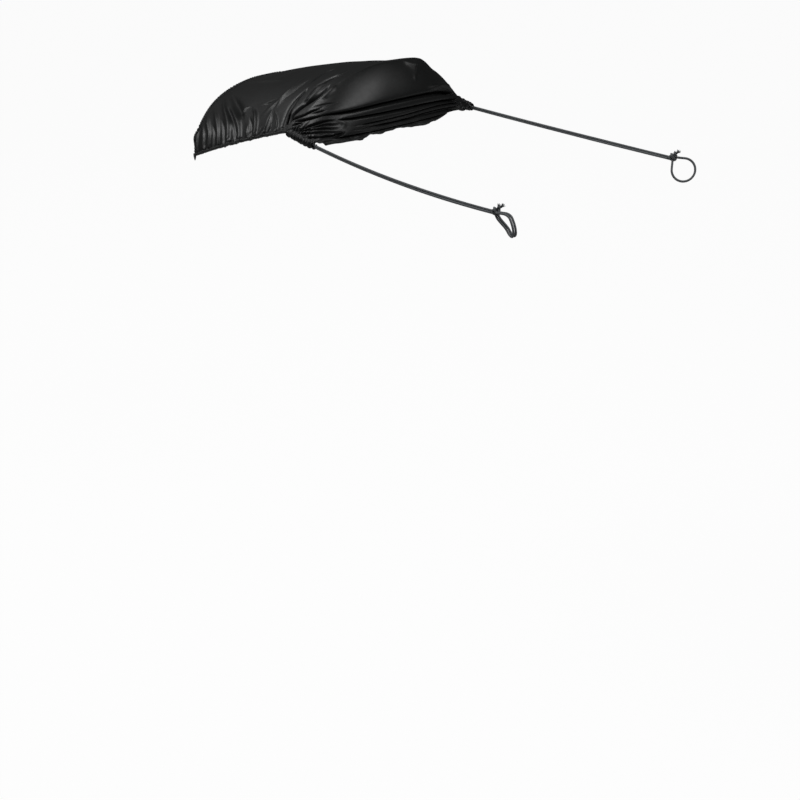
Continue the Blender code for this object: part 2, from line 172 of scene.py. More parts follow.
def new_material(name: str) -> tuple[bpy.types.Material, bpy.types.NodeTree]:
    """Add a material whose node tree is still empty.

    Args:
        name: The material's name.

    Returns:
        The material and its node tree.
    """
    material = bpy.data.materials.new(name)
    material.use_nodes = True
    material.node_tree.nodes.clear()
    return material, material.node_tree


@dataclass(frozen=True)
class Finish:
    """What every finish has: how rough it is and how much it mirrors."""

    roughness: float = 0.5
    ior: float = 1.5
    specular: float = 0.5

    def close(
        self, tree: bpy.types.NodeTree, links: Mapping[str | int, bpy.types.NodeSocket]
    ) -> None:
        """Add the shader and the output that end a material's tree.

        Args:
            tree: The material's node tree.
            links: Output sockets by the name of the shader's input that they feed.
        """
        settings = {"Roughness": self.roughness, "IOR": self.ior, "Specular IOR Level": self.specular}
        shader = add_node(tree, "BsdfPrincipled", settings, links)
        add_node(tree, "OutputMaterial", None, {"Surface": shader.outputs[0]})


@dataclass(frozen=True)
class WovenPolyester(Finish):
    """Plain woven polyester, dyed black, with a calendered face.

    Fine smooth threads give a soft satin light along the folds and no sparkle.
    """

    colour: str = "#0c0d0d"
    worn_colour: str = "#121313"
    roughness: float = 0.46
    duller: float = 0.06
    glossier: float = 0.05
    # Light sinks in between the threads, so the cloth mirrors less than a smooth face.
    specular: float = 0.34
    # The real threads lie 0.25 mm apart, too fine to show, so the weave is drawn four times as coarse.
    thread_spacing_mm: float = 1.0
    weave_depth_mm: float = 0.06
    crinkle_size_mm: float = 7.0
    crinkle_depth_mm: float = 0.14
    patches_per_metre: float = 18.0

    def material(self) -> bpy.types.Material:
        """Make the cloth's material.

        Returns:
            The material.
        """
        material, tree = new_material("woven_polyester")
        place = {"Vector": add_node(tree, "UVMap", {"uv_map": CLOTH_UV}).outputs["UV"]}
        threads = {"Scale": wave_scale(self.thread_spacing_mm), "Distortion": 0.4, "Detail Scale": 3.0}
        warp, weft = (
            add_node(tree, "TexWave", {"bands_direction": axis, **threads}, place).outputs["Fac"]
            for axis in "XY"
        )
        weave = add_node(tree, "Math", {"operation": "MULTIPLY"}, {0: warp, 1: weft})
        crinkle = add_node(
            tree,
            "TexNoise",
            {"Scale": 1.0 / (self.crinkle_size_mm * MM), "Detail": 3.0, "Roughness": 0.45},
            place,
        ).outputs["Fac"]
        crinkled = add_node(
            tree, "Bump", {"Distance": self.crinkle_depth_mm * MM, "Strength": 0.5}, {"Height": crinkle}
        )
        woven = add_node(
            tree,
            "Bump",
            {"Distance": self.weave_depth_mm * MM, "Strength": 0.6},
            {"Height": weave.outputs[0], "Normal": crinkled.outputs["Normal"]},
        )
        patches = add_node(tree, "TexNoise", {"Scale": self.patches_per_metre, "Detail": 2.0}, place)
        tint = add_node(
            tree,
            "Mix",
            {"data_type": "RGBA", 6: linear(self.colour), 7: linear(self.worn_colour)},
            {0: patches.outputs["Fac"]},
        )
        rough = add_node(
            tree,
            "MapRange",
            {"To Min": self.roughness - self.glossier, "To Max": self.roughness + self.duller},
            {"Value": crinkle},
        )
        self.close(
            tree,
            {
                "Base Color": tint.outputs[2],
                "Roughness": rough.outputs["Result"],
                "Normal": woven.outputs["Normal"],
            },
        )
        return material


@dataclass(frozen=True)
class TurnedHem(Finish):
    """The same cloth turned over an elastic and stitched.

    The doubled cloth is drawn up and looks duller than the open cloth; its gathers' hollows are painted
    darker as shade.
    """

    colour: str = "#1a1b1b"
    # Painted shade: the hollows between the gathers get this darker colour.
    painted_gather_shade: str = "#0e0f0f"
    roughness: float = 0.55
    specular: float = 0.35
    gather_spacing_mm: float = 3.2
    gather_depth_mm: float = 0.5

    def material(self) -> bpy.types.Material:
        """Make the hem's material.

        Returns:
            The material.
        """
        material, tree = new_material("turned_hem")
        place = {"Vector": add_node(tree, "UVMap", {"uv_map": CLOTH_UV}).outputs["UV"]}
        bands = wave_scale(self.gather_spacing_mm)
        gathers = add_node(
            tree,
            "TexWave",
            {"bands_direction": "Y", "Scale": bands, "Distortion": 2.4, "Detail": 1.0},
            place,
        ).outputs["Fac"]
        drawn = add_node(
            tree, "Bump", {"Distance": self.gather_depth_mm * MM, "Strength": 0.6}, {"Height": gathers}
        )
        # The gathers' own height paints their hollows darker, as shade.
        shade = add_node(
            tree,
            "Mix",
            {"data_type": "RGBA", 6: linear(self.painted_gather_shade), 7: linear(self.colour)},
            {0: gathers},
        )
        self.close(tree, {"Base Color": shade.outputs[2], "Normal": drawn.outputs["Normal"]})
        return material


@dataclass(frozen=True)
class BraidedElastic(Finish):
    """Round elastic: rubber threads in a braided polyester jacket.

    The braid is matt, and painted shade in the low places between its small diamonds darkens the cord's
    grey.
    """

    colour: str = "#686b6d"
    # Painted shade: the braid's low places between the yarns get this darker grey.
    painted_braid_shade: str = "#3c3e40"
    roughness: float = 0.8
    specular: float = 0.25
    # The real braid repeats every 1.4 mm along the cord and has 8 yarns round it.
    pitch_mm: float = 1.6
    yarns: int = 8
    depth_mm: float = 0.16

    def material(self) -> bpy.types.Material:
        """Make the cord's material.

        Returns:
            The material.
        """
        material, tree = new_material("braided_elastic")
        place = add_node(tree, "UVMap", {"uv_map": CORD_UV})
        parts = add_node(tree, "SeparateXYZ", None, {"Vector": place.outputs["UV"]})
        along, around = (
            add_node(tree, "Math", {"operation": "MULTIPLY", 1: pace}, {0: parts.outputs[axis]})
            for axis, pace in (("Y", math.tau / (self.pitch_mm * MM)), ("X", math.tau * self.yarns / 2.0))
        )
        # Two sets of yarns wind round the cord in opposite directions and cross.
        windings = []
        for crossing in ("ADD", "SUBTRACT"):
            turned = add_node(
                tree, "Math", {"operation": crossing}, {0: along.outputs[0], 1: around.outputs[0]}
            )
            windings.append(add_node(tree, "Math", {"operation": "SINE"}, {0: turned.outputs[0]}))
        braid = add_node(
            tree,
            "Math",
            {"operation": "MULTIPLY"},
            {0: windings[0].outputs[0], 1: windings[1].outputs[0]},
        )
        height = add_node(
            tree, "MapRange", {"From Min": -1.0, "From Max": 1.0}, {"Value": braid.outputs[0]}
        ).outputs["Result"]
        # The braid's own height paints its low places darker, as shade.
        shade = add_node(
            tree,
            "Mix",
            {"data_type": "RGBA", 6: linear(self.painted_braid_shade), 7: linear(self.colour)},
            {0: height},
        )
        bump = add_node(
            tree, "Bump", {"Distance": self.depth_mm * MM, "Strength": 0.8}, {"Height": height}
        )
        self.close(tree, {"Base Color": shade.outputs[2], "Normal": bump.outputs["Normal"]})
        return material


def grid_normals(grid: Array) -> Array:
    """Return a unit normal for each point of a grid of rows and columns."""
    normals = np.cross(np.gradient(grid, axis=0), np.gradient(grid, axis=1))
    return normals / np.maximum(np.linalg.norm(normals, axis=2, keepdims=True), 1e-12)


def directions(vectors: Array) -> Array:
    """Return each vector of a list with a length of one."""
    return vectors / np.linalg.norm(vectors, axis=1, keepdims=True)


def add_mesh(
    name: str,
    points: Array,
    faces: Sequence[Sequence[int]],
    material: bpy.types.Material,
    uv_name: str,
    uv: Array,
) -> bpy.types.Object:
    """Add a smooth mesh object.

    Args:
        name: The object's name.
        points: Its vertices.
        faces: Vertex numbers for each face.
        material: Its material.
        uv_name: The name of its UV layer.
        uv: A UV place for each corner of each face, in order.

    Returns:
        The new object.
    """
    mesh = bpy.data.meshes.new(name)
    mesh.from_pydata(np.asarray(points, dtype=float).tolist(), [], [list(face) for face in faces])
    layer = mesh.uv_layers.new(name=uv_name)
    layer.data.foreach_set("uv", np.asarray(uv, dtype=np.float32).ravel())
    mesh.materials.append(material)
    mesh.shade_smooth()
    mesh.validate()
    item = bpy.data.objects.new(name, mesh)
    bpy.context.scene.collection.objects.link(item)
    return item


def grid_faces(rows: int, columns: int) -> Array:
    """Return the vertex numbers of each face of a grid, turned towards its normals.

    Args:
        rows: How many rows of points the grid has.
        columns: How many points a row has.

    Returns:
        Four vertex numbers for each face.
    """
    row, column = np.meshgrid(np.arange(rows - 1), np.arange(columns - 1), indexing="ij")
    first = (row * columns + column).ravel()
    return np.stack([first, first + columns, first + columns + 1, first + 1], axis=1)


def path_frames(path: Array) -> tuple[Array, Array]:
    """Return two directions square to a path at each point, turned as little as possible.

    Args:
        path: The path's points.

    Returns:
        The two directions at each point.
    """
    tangents = directions(np.gradient(path, axis=0))
    first = np.cross(tangents[0], (0.0, 0.0, 1.0))
    if np.linalg.norm(first) < 0.3:
        first = np.cross(tangents[0], (1.0, 0.0, 0.0))
    sides = [unit(first)]
    for tangent in tangents[1:]:
        sides.append(unit(sides[-1] - tangent * np.dot(sides[-1], tangent)))
    sides = np.array(sides)
    return sides, np.cross(tangents, sides)


def arc_lengths(path: Array) -> Array:
    """Return the length along a path at each of its points."""
    steps = np.linalg.norm(np.diff(path, axis=0), axis=1)
    return np.concatenate([[0.0], np.cumsum(steps)])


def ring_skin(lengths: Array, sides: int) -> tuple[list[tuple[int, ...]], list[tuple[float, float]]]:
    """Return the skin over rings of points that lie one after the other.

    Args:
        lengths: How far along the piece each ring lies.
        sides: How many points a ring has.

    Returns:
        The faces, and a UV place for each of their corners, with turns across and metres along.
    """
    faces: list[tuple[int, ...]] = []
    uv: list[tuple[float, float]] = []
    for ring in range(len(lengths) - 1):
        low = ring * sides
        for spot in range(sides):
            after = (spot + 1) % sides
            faces.append((low + spot, low + after, low + sides + after, low + sides + spot))
            left, right = spot / sides, (spot + 1) / sides
            uv += [(left, lengths[ring]), (right, lengths[ring])]
            uv += [(right, lengths[ring + 1]), (left, lengths[ring + 1])]
    return faces, uv


def add_tube(
    name: str,
    path: Array,
    radius: float | Callable[[Array, Array], Array],
    sides: int,
    material: bpy.types.Material,
    uv_name: str = CORD_UV,
) -> bpy.types.Object:
    """Add a closed tube along a path.

    Args:
        name: The object's name.
        path: The points of its middle line.
        radius: Its radius, or what gives it from the share of the length and the angle round it.
        sides: How many points lie round it.
        material: Its material.
        uv_name: The name of its UV layer, which holds turns across and metres along.

    Returns:
        The new object.
    """
    path = np.asarray(path, dtype=float)
    first, second = path_frames(path)
    lengths = arc_lengths(path)
    angles = np.linspace(0.0, math.tau, sides, endpoint=False)
    reach = radius((lengths / lengths[-1])[:, None], angles[None, :]) if callable(radius) else radius
    reach = reach * np.ones((len(path), sides))
    spokes = first[:, None] * np.cos(angles)[None, :, None]
    spokes = spokes + second[:, None] * np.sin(angles)[None, :, None]
    rings = path[:, None] + spokes * reach[:, :, None]
    points = np.concatenate([rings.reshape(-1, 3), path[:1], path[-1:]])
    faces, uv = ring_skin(lengths, sides)
    last = (len(path) - 1) * sides
    start = len(points) - 2
    for spot in range(sides):
        after = (spot + 1) % sides
        faces += [(after, spot, start), (last + spot, last + after, start + 1)]
        uv += [(0.0, 0.0)] * 3 + [(0.0, lengths[-1])] * 3
    return add_mesh(name, points, faces, material, uv_name, np.array(uv))


def join(pieces: Sequence[bpy.types.Object], name: str) -> bpy.types.Object:
    """Join several mesh objects into the first one and name it.

    Args:
        pieces: The objects, which share their materials and UV layers.
        name: The joined object's name.

    Returns:
        The joined object.
    """
    with bpy.context.temp_override(
        active_object=pieces[0], selected_editable_objects=list(pieces), selected_objects=list(pieces)
    ):
        bpy.ops.object.join()
    pieces[0].name = name
    pieces[0].data.name = name
    return pieces[0]


def apply_modifiers(item: bpy.types.Object) -> None:
    """Turn an object's modifiers into its mesh.

    Args:
        item: The object.
    """
    depsgraph = bpy.context.evaluated_depsgraph_get()
    mesh = bpy.data.meshes.new_from_object(item.evaluated_get(depsgraph), depsgraph=depsgraph)
    item.modifiers.clear()
    item.data = mesh
    mesh.shade_smooth()


def dress(item: bpy.types.Object, slot: str, body: str, *nodes: str) -> None:
    """Let a piece stand for nodes of the frame and ride on a body.

    Args:
        item: The piece.
        slot: Not used.
        body: The body that carries it.
        nodes: The nodes that it stands for.
    """
    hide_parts(*nodes)
    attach(item, body)


def smooth_line(points: Sequence[Sequence[float]], count: int) -> Array:
    """Return points on a smooth curve through the given ones.

    Args:
        points: The points that the curve passes through.
        count: How many points it gets.

    Returns:
        The curve's points.
    """
    known = np.asarray(points, dtype=float)
    padded = np.concatenate([[2 * known[0] - known[1]], known, [2 * known[-1] - known[-2]]])
    places = np.linspace(0.0, len(known) - 1 - 1e-9, count)
    piece = places.astype(int)
    t = (places - piece)[:, None]
    a, b, c, d = (padded[piece + k] for k in range(4))
    return 0.5 * (
        2 * b + (c - a) * t + (2 * a - 5 * b + 4 * c - d) * t**2 + (3 * b - a - 3 * c + d) * t**3
    )


@dataclass(frozen=True)
class HoodArch:
    """The form of the hood that the cover is pulled over."""

    rim_half_width: float = 0.198
    rear_half_width: float = 0.199
    rim_drop: float = 0.157
    rear_drop: float = 0.169
    rim_squareness: float = 1.9
    rear_squareness: float = 2.2
    roof_slope: float = 0.132
    roof_bend: float = 0.374
    roof_dip: float = 0.006
    side_rear_x: float = -0.322
    side_front_x: float = -0.043
    rear_reach: float = 0.043
    front_reach: float = 0.055
    rear_hem_height: float = 0.044
    rim_hem_height: float = -0.0915
    rise_tries: int = 12
    first_rise: float = 0.4

    def point(self, along: Array, rise: Array) -> Array:
        """Return points on the far half of the arch.

        Args:
            along: Where they lie from the rear 0 to the rim 1.
            rise: Where they lie from the shoulder 0 to the crown 1.

        Returns:
            The points.
        """
        drop = mix(self.rear_drop, self.rim_drop, along)
        power = mix(self.rear_squareness, self.rim_squareness, along)
        half = mix(self.rear_half_width, self.rim_half_width, along)
        rear_x = self.side_rear_x - self.rear_reach * rise
        front_x = self.side_front_x + self.front_reach * rise
        x = mix(rear_x, front_x, along)
        z = self.roof_slope * x - self.roof_bend * x * x
        z = z - self.roof_dip * np.sin(math.pi * along) - drop * (1.0 - rise)
        y = half * np.maximum(1.0 - rise**power, 0.0) ** (1.0 / power)
        return np.stack(np.broadcast_arrays(x, y, z), axis=-1)

    def rim_rise(self) -> float:
        """Find the rise at which the rim's arch meets the side hems.

        Returns:
            The rise, from the shoulder 0 to the crown 1.
        """
        rise = self.first_rise
        for _ in range(self.rise_tries):
            height = float(self.point(np.float64(1.0), np.float64(rise))[2])
            rise += (self.rim_hem_height - height) / self.rim_drop
        return rise

    def cover(self, along: Array, across: Array) -> Array:
        """Return points of the cover.

        Args:
            along: Where they lie from the rear 0 to the rim 1.
            across: Where they lie from the near side -1 to the far side 1.

        Returns:
            The points.
        """
        along, across = np.broadcast_arrays(along, across)
        hem_rise = mix(self.rear_hem_height / self.rear_drop, self.rim_rise(), along)
        power = mix(self.rear_squareness, self.rim_squareness, along)
        turn = np.arccos(hem_rise ** (power / 2.0)) * np.abs(across)
        points = self.point(along, np.cos(turn) ** (2.0 / power))
        points[..., 1] *= np.sign(across)
        return points

    def place(self, along: float, across: float) -> Array:
        """Return the cover's point at one place."""
        return self.cover(np.float64(along), np.float64(across))


@dataclass(frozen=True)
class CordRoute:
    """The middle line of one side's doubled cord, from the cover's corner to the knot."""

    side: Side
    end_x: float
    start_height: float
    end_height: float
    sag: float
    sleeve_length: float
    start_x: float = -0.0100
    half_spacing: float = 0.185
    sleeve_rear_x: float = -0.0070
    seat_reach: float = 0.0084
    seat_angle: float = 60.0

    def line(self, x: Array) -> Array:
        """Return the middle of the doubled cord.

        Args:
            x: The places along X where it is wanted.

        Returns:
            A point for each place.
        """
        x = np.asarray(x, dtype=float)
        share = (x - self.start_x) / (self.end_x - self.start_x)
        height = mix(self.start_height, self.end_height, share)
        height = height - 4.0 * self.sag * share * (1.0 - share)
        return np.stack([x, np.full_like(x, self.side.value * self.half_spacing), height], axis=-1)

    @property
    def mouth_x(self) -> float:
        """The x at which the cord leaves its sleeve."""
        return self.sleeve_rear_x + self.sleeve_length

    def seat(self, x: Array) -> Array:
        """Return the line on the sleeve's upper inner flank that the sail starts from.

        Args:
            x: The places along X where it is wanted.

        Returns:
            A point for each place.
        """
        angle = math.radians(self.seat_angle)
        points = self.line(np.minimum(np.asarray(x, dtype=float), self.mouth_x))
        points[..., 0] = x
        points[..., 1] -= self.side.value * self.seat_reach * math.cos(angle)
        points[..., 2] += self.seat_reach * math.sin(angle)
        return points

    @property
    def mouth(self) -> Array:
        """The seat's point at the mouth of the sleeve."""
        return self.seat(np.float64(self.mouth_x))


NEAR_ROUTE = CordRoute(
    Side.NEAR, end_x=0.5060, start_height=-0.0955, end_height=-0.0820, sag=0.0112, sleeve_length=0.066
)
FAR_ROUTE = CordRoute(
    Side.FAR, end_x=0.5045, start_height=-0.1085, end_height=-0.0788, sag=0.0012, sleeve_length=0.036
)
ROUTES = {Side.NEAR: NEAR_ROUTE, Side.FAR: FAR_ROUTE}


@dataclass(frozen=True)
class Fold:
    """One fold of the cloth, along a line of (along, across) places on it.

    Along runs from the rear hem at 0 over the rim at 1 to the sail's free edge at 2. Across runs
    from the near side at -1 to the far side at 1. Sizes are in millimetres, and a valley has a
    height below zero. A fold with an overhang hangs over its valley on the side of the rim.
    """

    line: tuple[tuple[float, float], ...]
    height: float
    width: float
    end_width: float
    fade_in: float
    fade_out: float
    overhang: float = 0.0
    both_sides: bool = False

    def mirrored(self) -> Fold:
        """Return the same fold on the other side of the cloth."""
        return replace(self, line=tuple((along, -across) for along, across in self.line))


def fold_table(*rows: tuple, both_sides: bool = False) -> tuple[Fold, ...]:
    """Return the folds of a table.

    Args:
        rows: Each fold's height, width, width at its end, fade in, fade out, overhang and line,
            in the order of the fold's own fields.
        both_sides: Whether the folds are there on both sides of the cloth.

    Returns:
        The folds, in the table's order.
    """
    return tuple(Fold(line, *sizes, both_sides) for *sizes, line in rows)


@dataclass
class Gather:
    """The cloth bunched up on one side's cord: a stitched sleeve with pleats that fan out of it.

    Depths, heights and widths are in millimetres, and the other measures are shares.
    """

    side: Side
    pleats: int
    tangles: int
    pleat_seed: float = 37.0
    pleat_depth: float = 4.0
    pleat_width: float = 1.7
    pleat_end_width: float = 2.3
    pleat_stray: float = 0.35
    pleat_reach: float = 0.07
    pleat_more_reach: float = 0.15
    pleat_drift: float = 0.10
    tangle_seed: float = 53.0
    tangle_height: float = 3.4
    tangle_width: float = 1.2
    tangle_end_width: float = 1.6
    tangle_lean: float = 0.16

    def pleat(self, number: int) -> Fold:
        """Return one pleat, from the back of the sleeve into the sail.

        Args:
            number: Its number, counted from the rim.

        Returns:
            The pleat.
        """
        sign = self.side.value
        seed = number + self.pleat_seed * sign
        down = (number + 0.5 + self.pleat_stray * (scatter(seed) - 0.5)) / self.pleats
        reach = self.pleat_reach + self.pleat_more_reach * scatter(seed + 0.37)
        drift = self.pleat_drift * (scatter(seed + 0.71) - 0.5)
        line = (
            (1.0 + down, sign * 1.16),
            (1.0 + down - 0.02 * scatter(seed + 0.2), sign * 1.06),
            (1.0 + down, sign),
            (1.0 + down + drift * 0.4, sign * (1.0 - 0.4 * reach)),
            (1.0 + down + drift, sign * (1.0 - reach)),
        )
        depth = -self.pleat_depth * (0.7 + 0.6 * scatter(seed + 0.11))
        return Fold(line, depth, self.pleat_width, self.pleat_end_width, fade_in=0.02, fade_out=0.55)

    def tangle(self, number: int) -> Fold:
        """Return one of the small tangled puckers between the pleats.

        Args:
            number: Its number.

        Returns:
            The pucker.
        """
        sign = self.side.value
        seed = number + self.tangle_seed * sign
        down = 0.04 + 0.92 * scatter(seed)
        inwards = 1.05 - 0.15 * scatter(seed + 0.4)
        lean = self.tangle_lean * (scatter(seed + 0.8) - 0.5)
        line = (
            (1.0 + down, sign * inwards),
            (1.0 + down + lean * 0.7, sign * (inwards - 0.016)),
            (1.0 + down + lean, sign * (inwards - 0.034)),
        )
        height = self.tangle_height * (scatter(seed + 0.6) - 0.45)
        return Fold(line, height, self.tangle_width, self.tangle_end_width, fade_in=0.3, fade_out=0.4)

    def folds(self) -> list[Fold]:
        """Return all pleats and then all tangled puckers."""
        pleats = [self.pleat(number) for number in range(self.pleats)]
        return pleats + [self.tangle(number) for number in range(self.tangles)]


@dataclass
class ShadeCloth:
    """The cover, the sail and its two sleeves as one continuous sheet of cloth with its folds."""

    folds: tuple[Fold, ...]
    arch: HoodArch = field(default_factory=HoodArch)
    cover_rows: int = 236
    sail_rows: int = 168
    columns: int = 560
    sleeve_columns: int = 34
    rim_crowding: float = 0.14
    side_crowding: float = 0.07
    sleeve_share: float = 0.13
    sleeve_turn: float = 318.0
    sleeve_radius: float = 0.0066
    mouth_radius: float = 0.0050
    triangles: int = 190_000
    bulge: float = 0.018
    bulge_power: float = 0.8
    front_bow: float = 0.006
    hem_sag: float = 0.0115
    sag_power: float = 0.6
    # The cloth lies this far outside the form that it is pulled over.
    lift: float = 0.0009
    deepest: float = 0.016
    point_width: float = 0.5
    # A fold reaches this many half widths to each side, and leaves layers this far above it alone.
    fold_reach: float = 3.0
    layer_gap: float = 0.003
    # The overhang's crest lies this many half widths beside the valley, and is this wide.
    crest_place: float = 1.3
    crest_width: float = 0.9
    ripple: float = 0.00018
    ripple_count: int = 7
    pucker_count: int = 58
    pucker_height: float = 2.4
    pucker_width: float = 1.3
    pucker_end_width: float = 2.2
    pucker_seed: float = 91.0
    gathers: tuple[Gather, ...] = (Gather(Side.NEAR, 13, 6), Gather(Side.FAR, 8, 5))
    line_points: int = 150
    # The cut cloth laid flat, and its area without the corners that are cut away.
    flat: tuple[float, float] = (0.62, 0.52)
    flat_area: float = 0.295
    # The sail starts to stretch this far ahead of the middle of the rim.
    stretch_start: float = 0.012
    grid: Array = field(init=False, repr=False)

    def side_edge(self, route: CordRoute, rim: Array, down: Array) -> Array:
        """Return the sail's side edge on a cord's sleeve.

        Args:
            route: The cord's route.
            rim: The rim's corner on that side.
            down: Where the points lie, from the corner 0 to the sleeve's mouth 1.

        Returns:
            The points.
        """
        down = np.asarray(down, dtype=float)
        points = route.seat(mix(rim[0], route.mouth_x, down))
        offset = rim - route.seat(rim[0])
        points[..., 1:] += offset[1:] * (1.0 - down)[..., None]
        return points

    def free_edge(self, share: Array) -> Array:
        """Return the sail's front edge.

        Args:
            share: Where the points lie, from the near sleeve's mouth 0 to the far one's 1.

        Returns:
            The points.
        """
        swell = np.maximum(np.sin(math.pi * share), 0.0)
        sag = -self.hem_sag * swell**self.sag_power
        bow = np.stack([self.front_bow * swell, 0.0 * swell, sag], axis=-1)
        return mix(NEAR_ROUTE.mouth, FAR_ROUTE.mouth, share[..., None]) + bow

    def sail(self, down: Array, across: Array) -> Array:
        """Return points of the sail without its folds.

        Args:
            down: Where they lie from the rim 0 to the free edge 1.
            across: Where they lie from the near side -1 to the far side 1.

        Returns:
            The points.
        """
        down, across = np.broadcast_arrays(down, across)
        share = (across + 1.0) / 2.0
        d = down[..., None]
        s = share[..., None]
        ruled = mix(self.arch.cover(np.ones_like(across), across), self.free_edge(share), d)
        sides = []
        lines = []
        for side in Side:
            rim = self.arch.place(1.0, side.value)
            sides.append(self.side_edge(ROUTES[side], rim, down))
            lines.append(mix(rim, self.side_edge(ROUTES[side], rim, np.float64(1.0)), d))
        # The sail is ruled between its rim and its free edge, and pulled over to its two side edges.
        return ruled + mix(*sides, s) - mix(*lines, s)

    def sleeve(self, side: Side, down: Array, across: Array) -> Array:
        """Return points of the sleeve, which goes on from the sail's side edge round the cord.

        Args:
            side: The sleeve's side.
            down: Where they lie from the rim 0 to the sleeve's mouth 1.
            across: How far round the cord they lie, beyond the side edge at 1.

        Returns:
            The points.
        """
        route = ROUTES[side]
        rim = self.arch.place(1.0, side.value)
        seat = self.side_edge(route, rim, down)
        middle = route.line(np.minimum(seat[..., 0], route.mouth_x))
        share = np.clip((np.abs(across) - 1.0) / self.sleeve_share, 0.0, 1.0)
        offset = seat - middle
        inwards = -side.value * offset[..., 1]
        start = np.arctan2(offset[..., 2], inwards)
        angle = start + math.radians(self.sleeve_turn) * share
        tight = mix(self.sleeve_radius, self.mouth_radius, smoothstep(0.8, 1.0, down))
        radius = mix(np.hypot(offset[..., 2], inwards), tight, smoothstep(0.0, 0.3, share))
        points = middle + np.zeros_like(seat)
        points[..., 1] -= side.value * radius * np.cos(angle)
        points[..., 2] += radius * np.sin(angle)
        return points

    def surface(self, along: Array, across: Array) -> Array:
        """Return points of the smooth cloth.

        Args:
            along: Their along places.
            across: Their across places.

        Returns:
            The points.
        """
        along, across = np.broadcast_arrays(along, across)
        inner = np.clip(across, -1.0, 1.0)
        down = np.clip(along - 1.0, 0.0, 1.0)
        points = self.arch.cover(np.clip(along, 0.0, 1.0), inner)
        points = np.where((along > 1.0)[..., None], self.sail(down, inner), points)
        for side in Side:
            beyond = (across * side.value > 1.0) & (along >= 1.0)
            points = np.where(beyond[..., None], self.sleeve(side, down, across), points)
        return points

    def swell(self, along: Array, across: Array) -> Array:
        """Return how far the sail bulges.

        Args:
            along: The along places where it is wanted.
            across: The across places.

        Returns:
            A length for each place.
        """
        down = np.clip(along - 1.0, 0.0, 1.0)
        across_share = np.sin(math.pi * (np.clip(across, -1.0, 1.0) + 1.0) / 2.0)
        rise = np.sin(math.pi * down) ** self.bulge_power
        return self.bulge * rise * np.maximum(across_share, 0.0) ** self.bulge_power

    def rows(self) -> Array:
        """Space the rows of points, closer together towards the rim.

        Returns:
            The along place of each row, from the rear hem to the free edge.
        """
        share = np.linspace(0.0, 1.0, self.cover_rows)
        cover = share + self.rim_crowding * np.sin(math.pi * share)
        cover[-1] = 1.0
        sail = np.linspace(1.0, 2.0, self.sail_rows + 1)[1:]
        return np.concatenate([cover, sail])

    def places(self) -> Array:
        """Space the columns of points, closer together towards the sides.

        Returns:
            The across place of each column, from the near side to the far one.
        """
        share = np.linspace(-1.0, 1.0, self.columns)
        inner = share + self.side_crowding * np.sin(math.pi * share)
        outer = 1.0 + self.sleeve_share * np.linspace(0.0, 1.0, self.sleeve_columns + 1)[1:]
        return np.concatenate([-outer[::-1], inner, outer])

    def pucker(self, side: Side, number: int) -> Fold:
        """Return one of the short puckers that a side hem's elastic draws into the cover.

        Args:
            side: The hem's side.
            number: The pucker's number, counted from the rear.

        Returns:
            The pucker.
        """
        seed = number + self.pucker_seed * side.value
        place = (number + 0.5 + 0.6 * (scatter(seed) - 0.5)) / self.pucker_count
        reach = 0.04 + 0.09 * scatter(seed + 0.37) ** 2
        line = (
            (place, side.value * 1.02),
            (place + 0.008 * (scatter(seed + 0.5) - 0.5), side.value * (1.0 - reach / 2)),
            (place + 0.018 * (scatter(seed + 0.9) - 0.5), side.value * (1.0 - reach)),
        )
        height = self.pucker_height * (1.6 * scatter(seed + 0.11) - 0.5)
        return Fold(line, height, self.pucker_width, self.pucker_end_width, fade_in=0.02, fade_out=0.8)

    def all_folds(self) -> list[Fold]:
        """Collect every fold of the cloth.

        Returns:
            The placed folds, the pleats at the gathers and the puckers above the side hems.
        """
        found = list(self.folds)
        found += [fold.mirrored() for fold in self.folds if fold.both_sides]
        for gather in self.gathers:
            found += gather.folds()
        return found + [self.pucker(side, n) for side in Side for n in range(self.pucker_count)]

    def fold_moves(self, grid: Array, normals: Array, along: Array, across: Array) -> Array:
        """Return how the folds move each point of the grid.

        Args:
            grid: The points of the smooth cloth.
            normals: Their normals.
            along: The along place of each row.
            across: The across place of each column.

        Returns:
            A move for each point, in metres.
        """
        heights = np.zeros(grid.shape[:2])
        slips = np.zeros(grid.shape)
        for fold in self.all_folds():
            line = smooth_line(fold.line, self.line_points)
            row = np.clip(np.searchsorted(along, line[:, 0]), 0, len(along) - 1)
            column = np.clip(np.searchsorted(across, line[:, 1]), 0, len(across) - 1)
            facing = normals[row, column]
            points = self.surface(line[:, 0], line[:, 1])
            points = points + facing * self.swell(line[:, 0], line[:, 1])[:, None]
            tangents = np.gradient(points, axis=0)
            tangents /= np.linalg.norm(tangents, axis=1, keepdims=True) + 1e-12
            sideways = np.cross(facing, tangents)
            wide = max(fold.width, fold.end_width) * MM * self.fold_reach
            low, high = points.min(axis=0) - wide, points.max(axis=0) + wide
            inside = np.all((grid > low) & (grid < high), axis=2)
            places = grid[inside]
            gaps = (points**2).sum(axis=1) - 2.0 * places @ points.T
            nearest = gaps.argmin(axis=1)
            away = places - points[nearest]
            lateral = np.einsum("ij,ij->i", away, sideways[nearest])
            ahead = np.einsum("ij,ij->i", away, tangents[nearest]) / arc_lengths(points)[-1]
            above = np.einsum("ij,ij->i", away, facing[nearest])
            share = np.clip(nearest / (len(points) - 1.0) + ahead, 0.0, 1.0)
            fade = smoothstep(0.0, fold.fade_in, share) * smoothstep(0.0, fold.fade_out, 1.0 - share)
            width = mix(fold.width, fold.end_width, share) * MM
            width = width * mix(self.point_width, 1.0, fade)
            reach = lateral / width
            fade = fade * np.exp(-((above / (self.layer_gap + width)) ** 4))
            heights[inside] += fold.height * MM * np.exp(-(reach**2)) * fade
            if fold.overhang:
                crest = np.exp(-(((reach - self.crest_place) / self.crest_width) ** 2))
                slips[inside] -= sideways[nearest] * (crest * fade * fold.overhang * MM)[:, None]
        heights = np.where(heights < 0.0, self.deepest * np.tanh(heights / self.deepest), heights)
        return normals * (heights + self.lift)[..., None] + slips

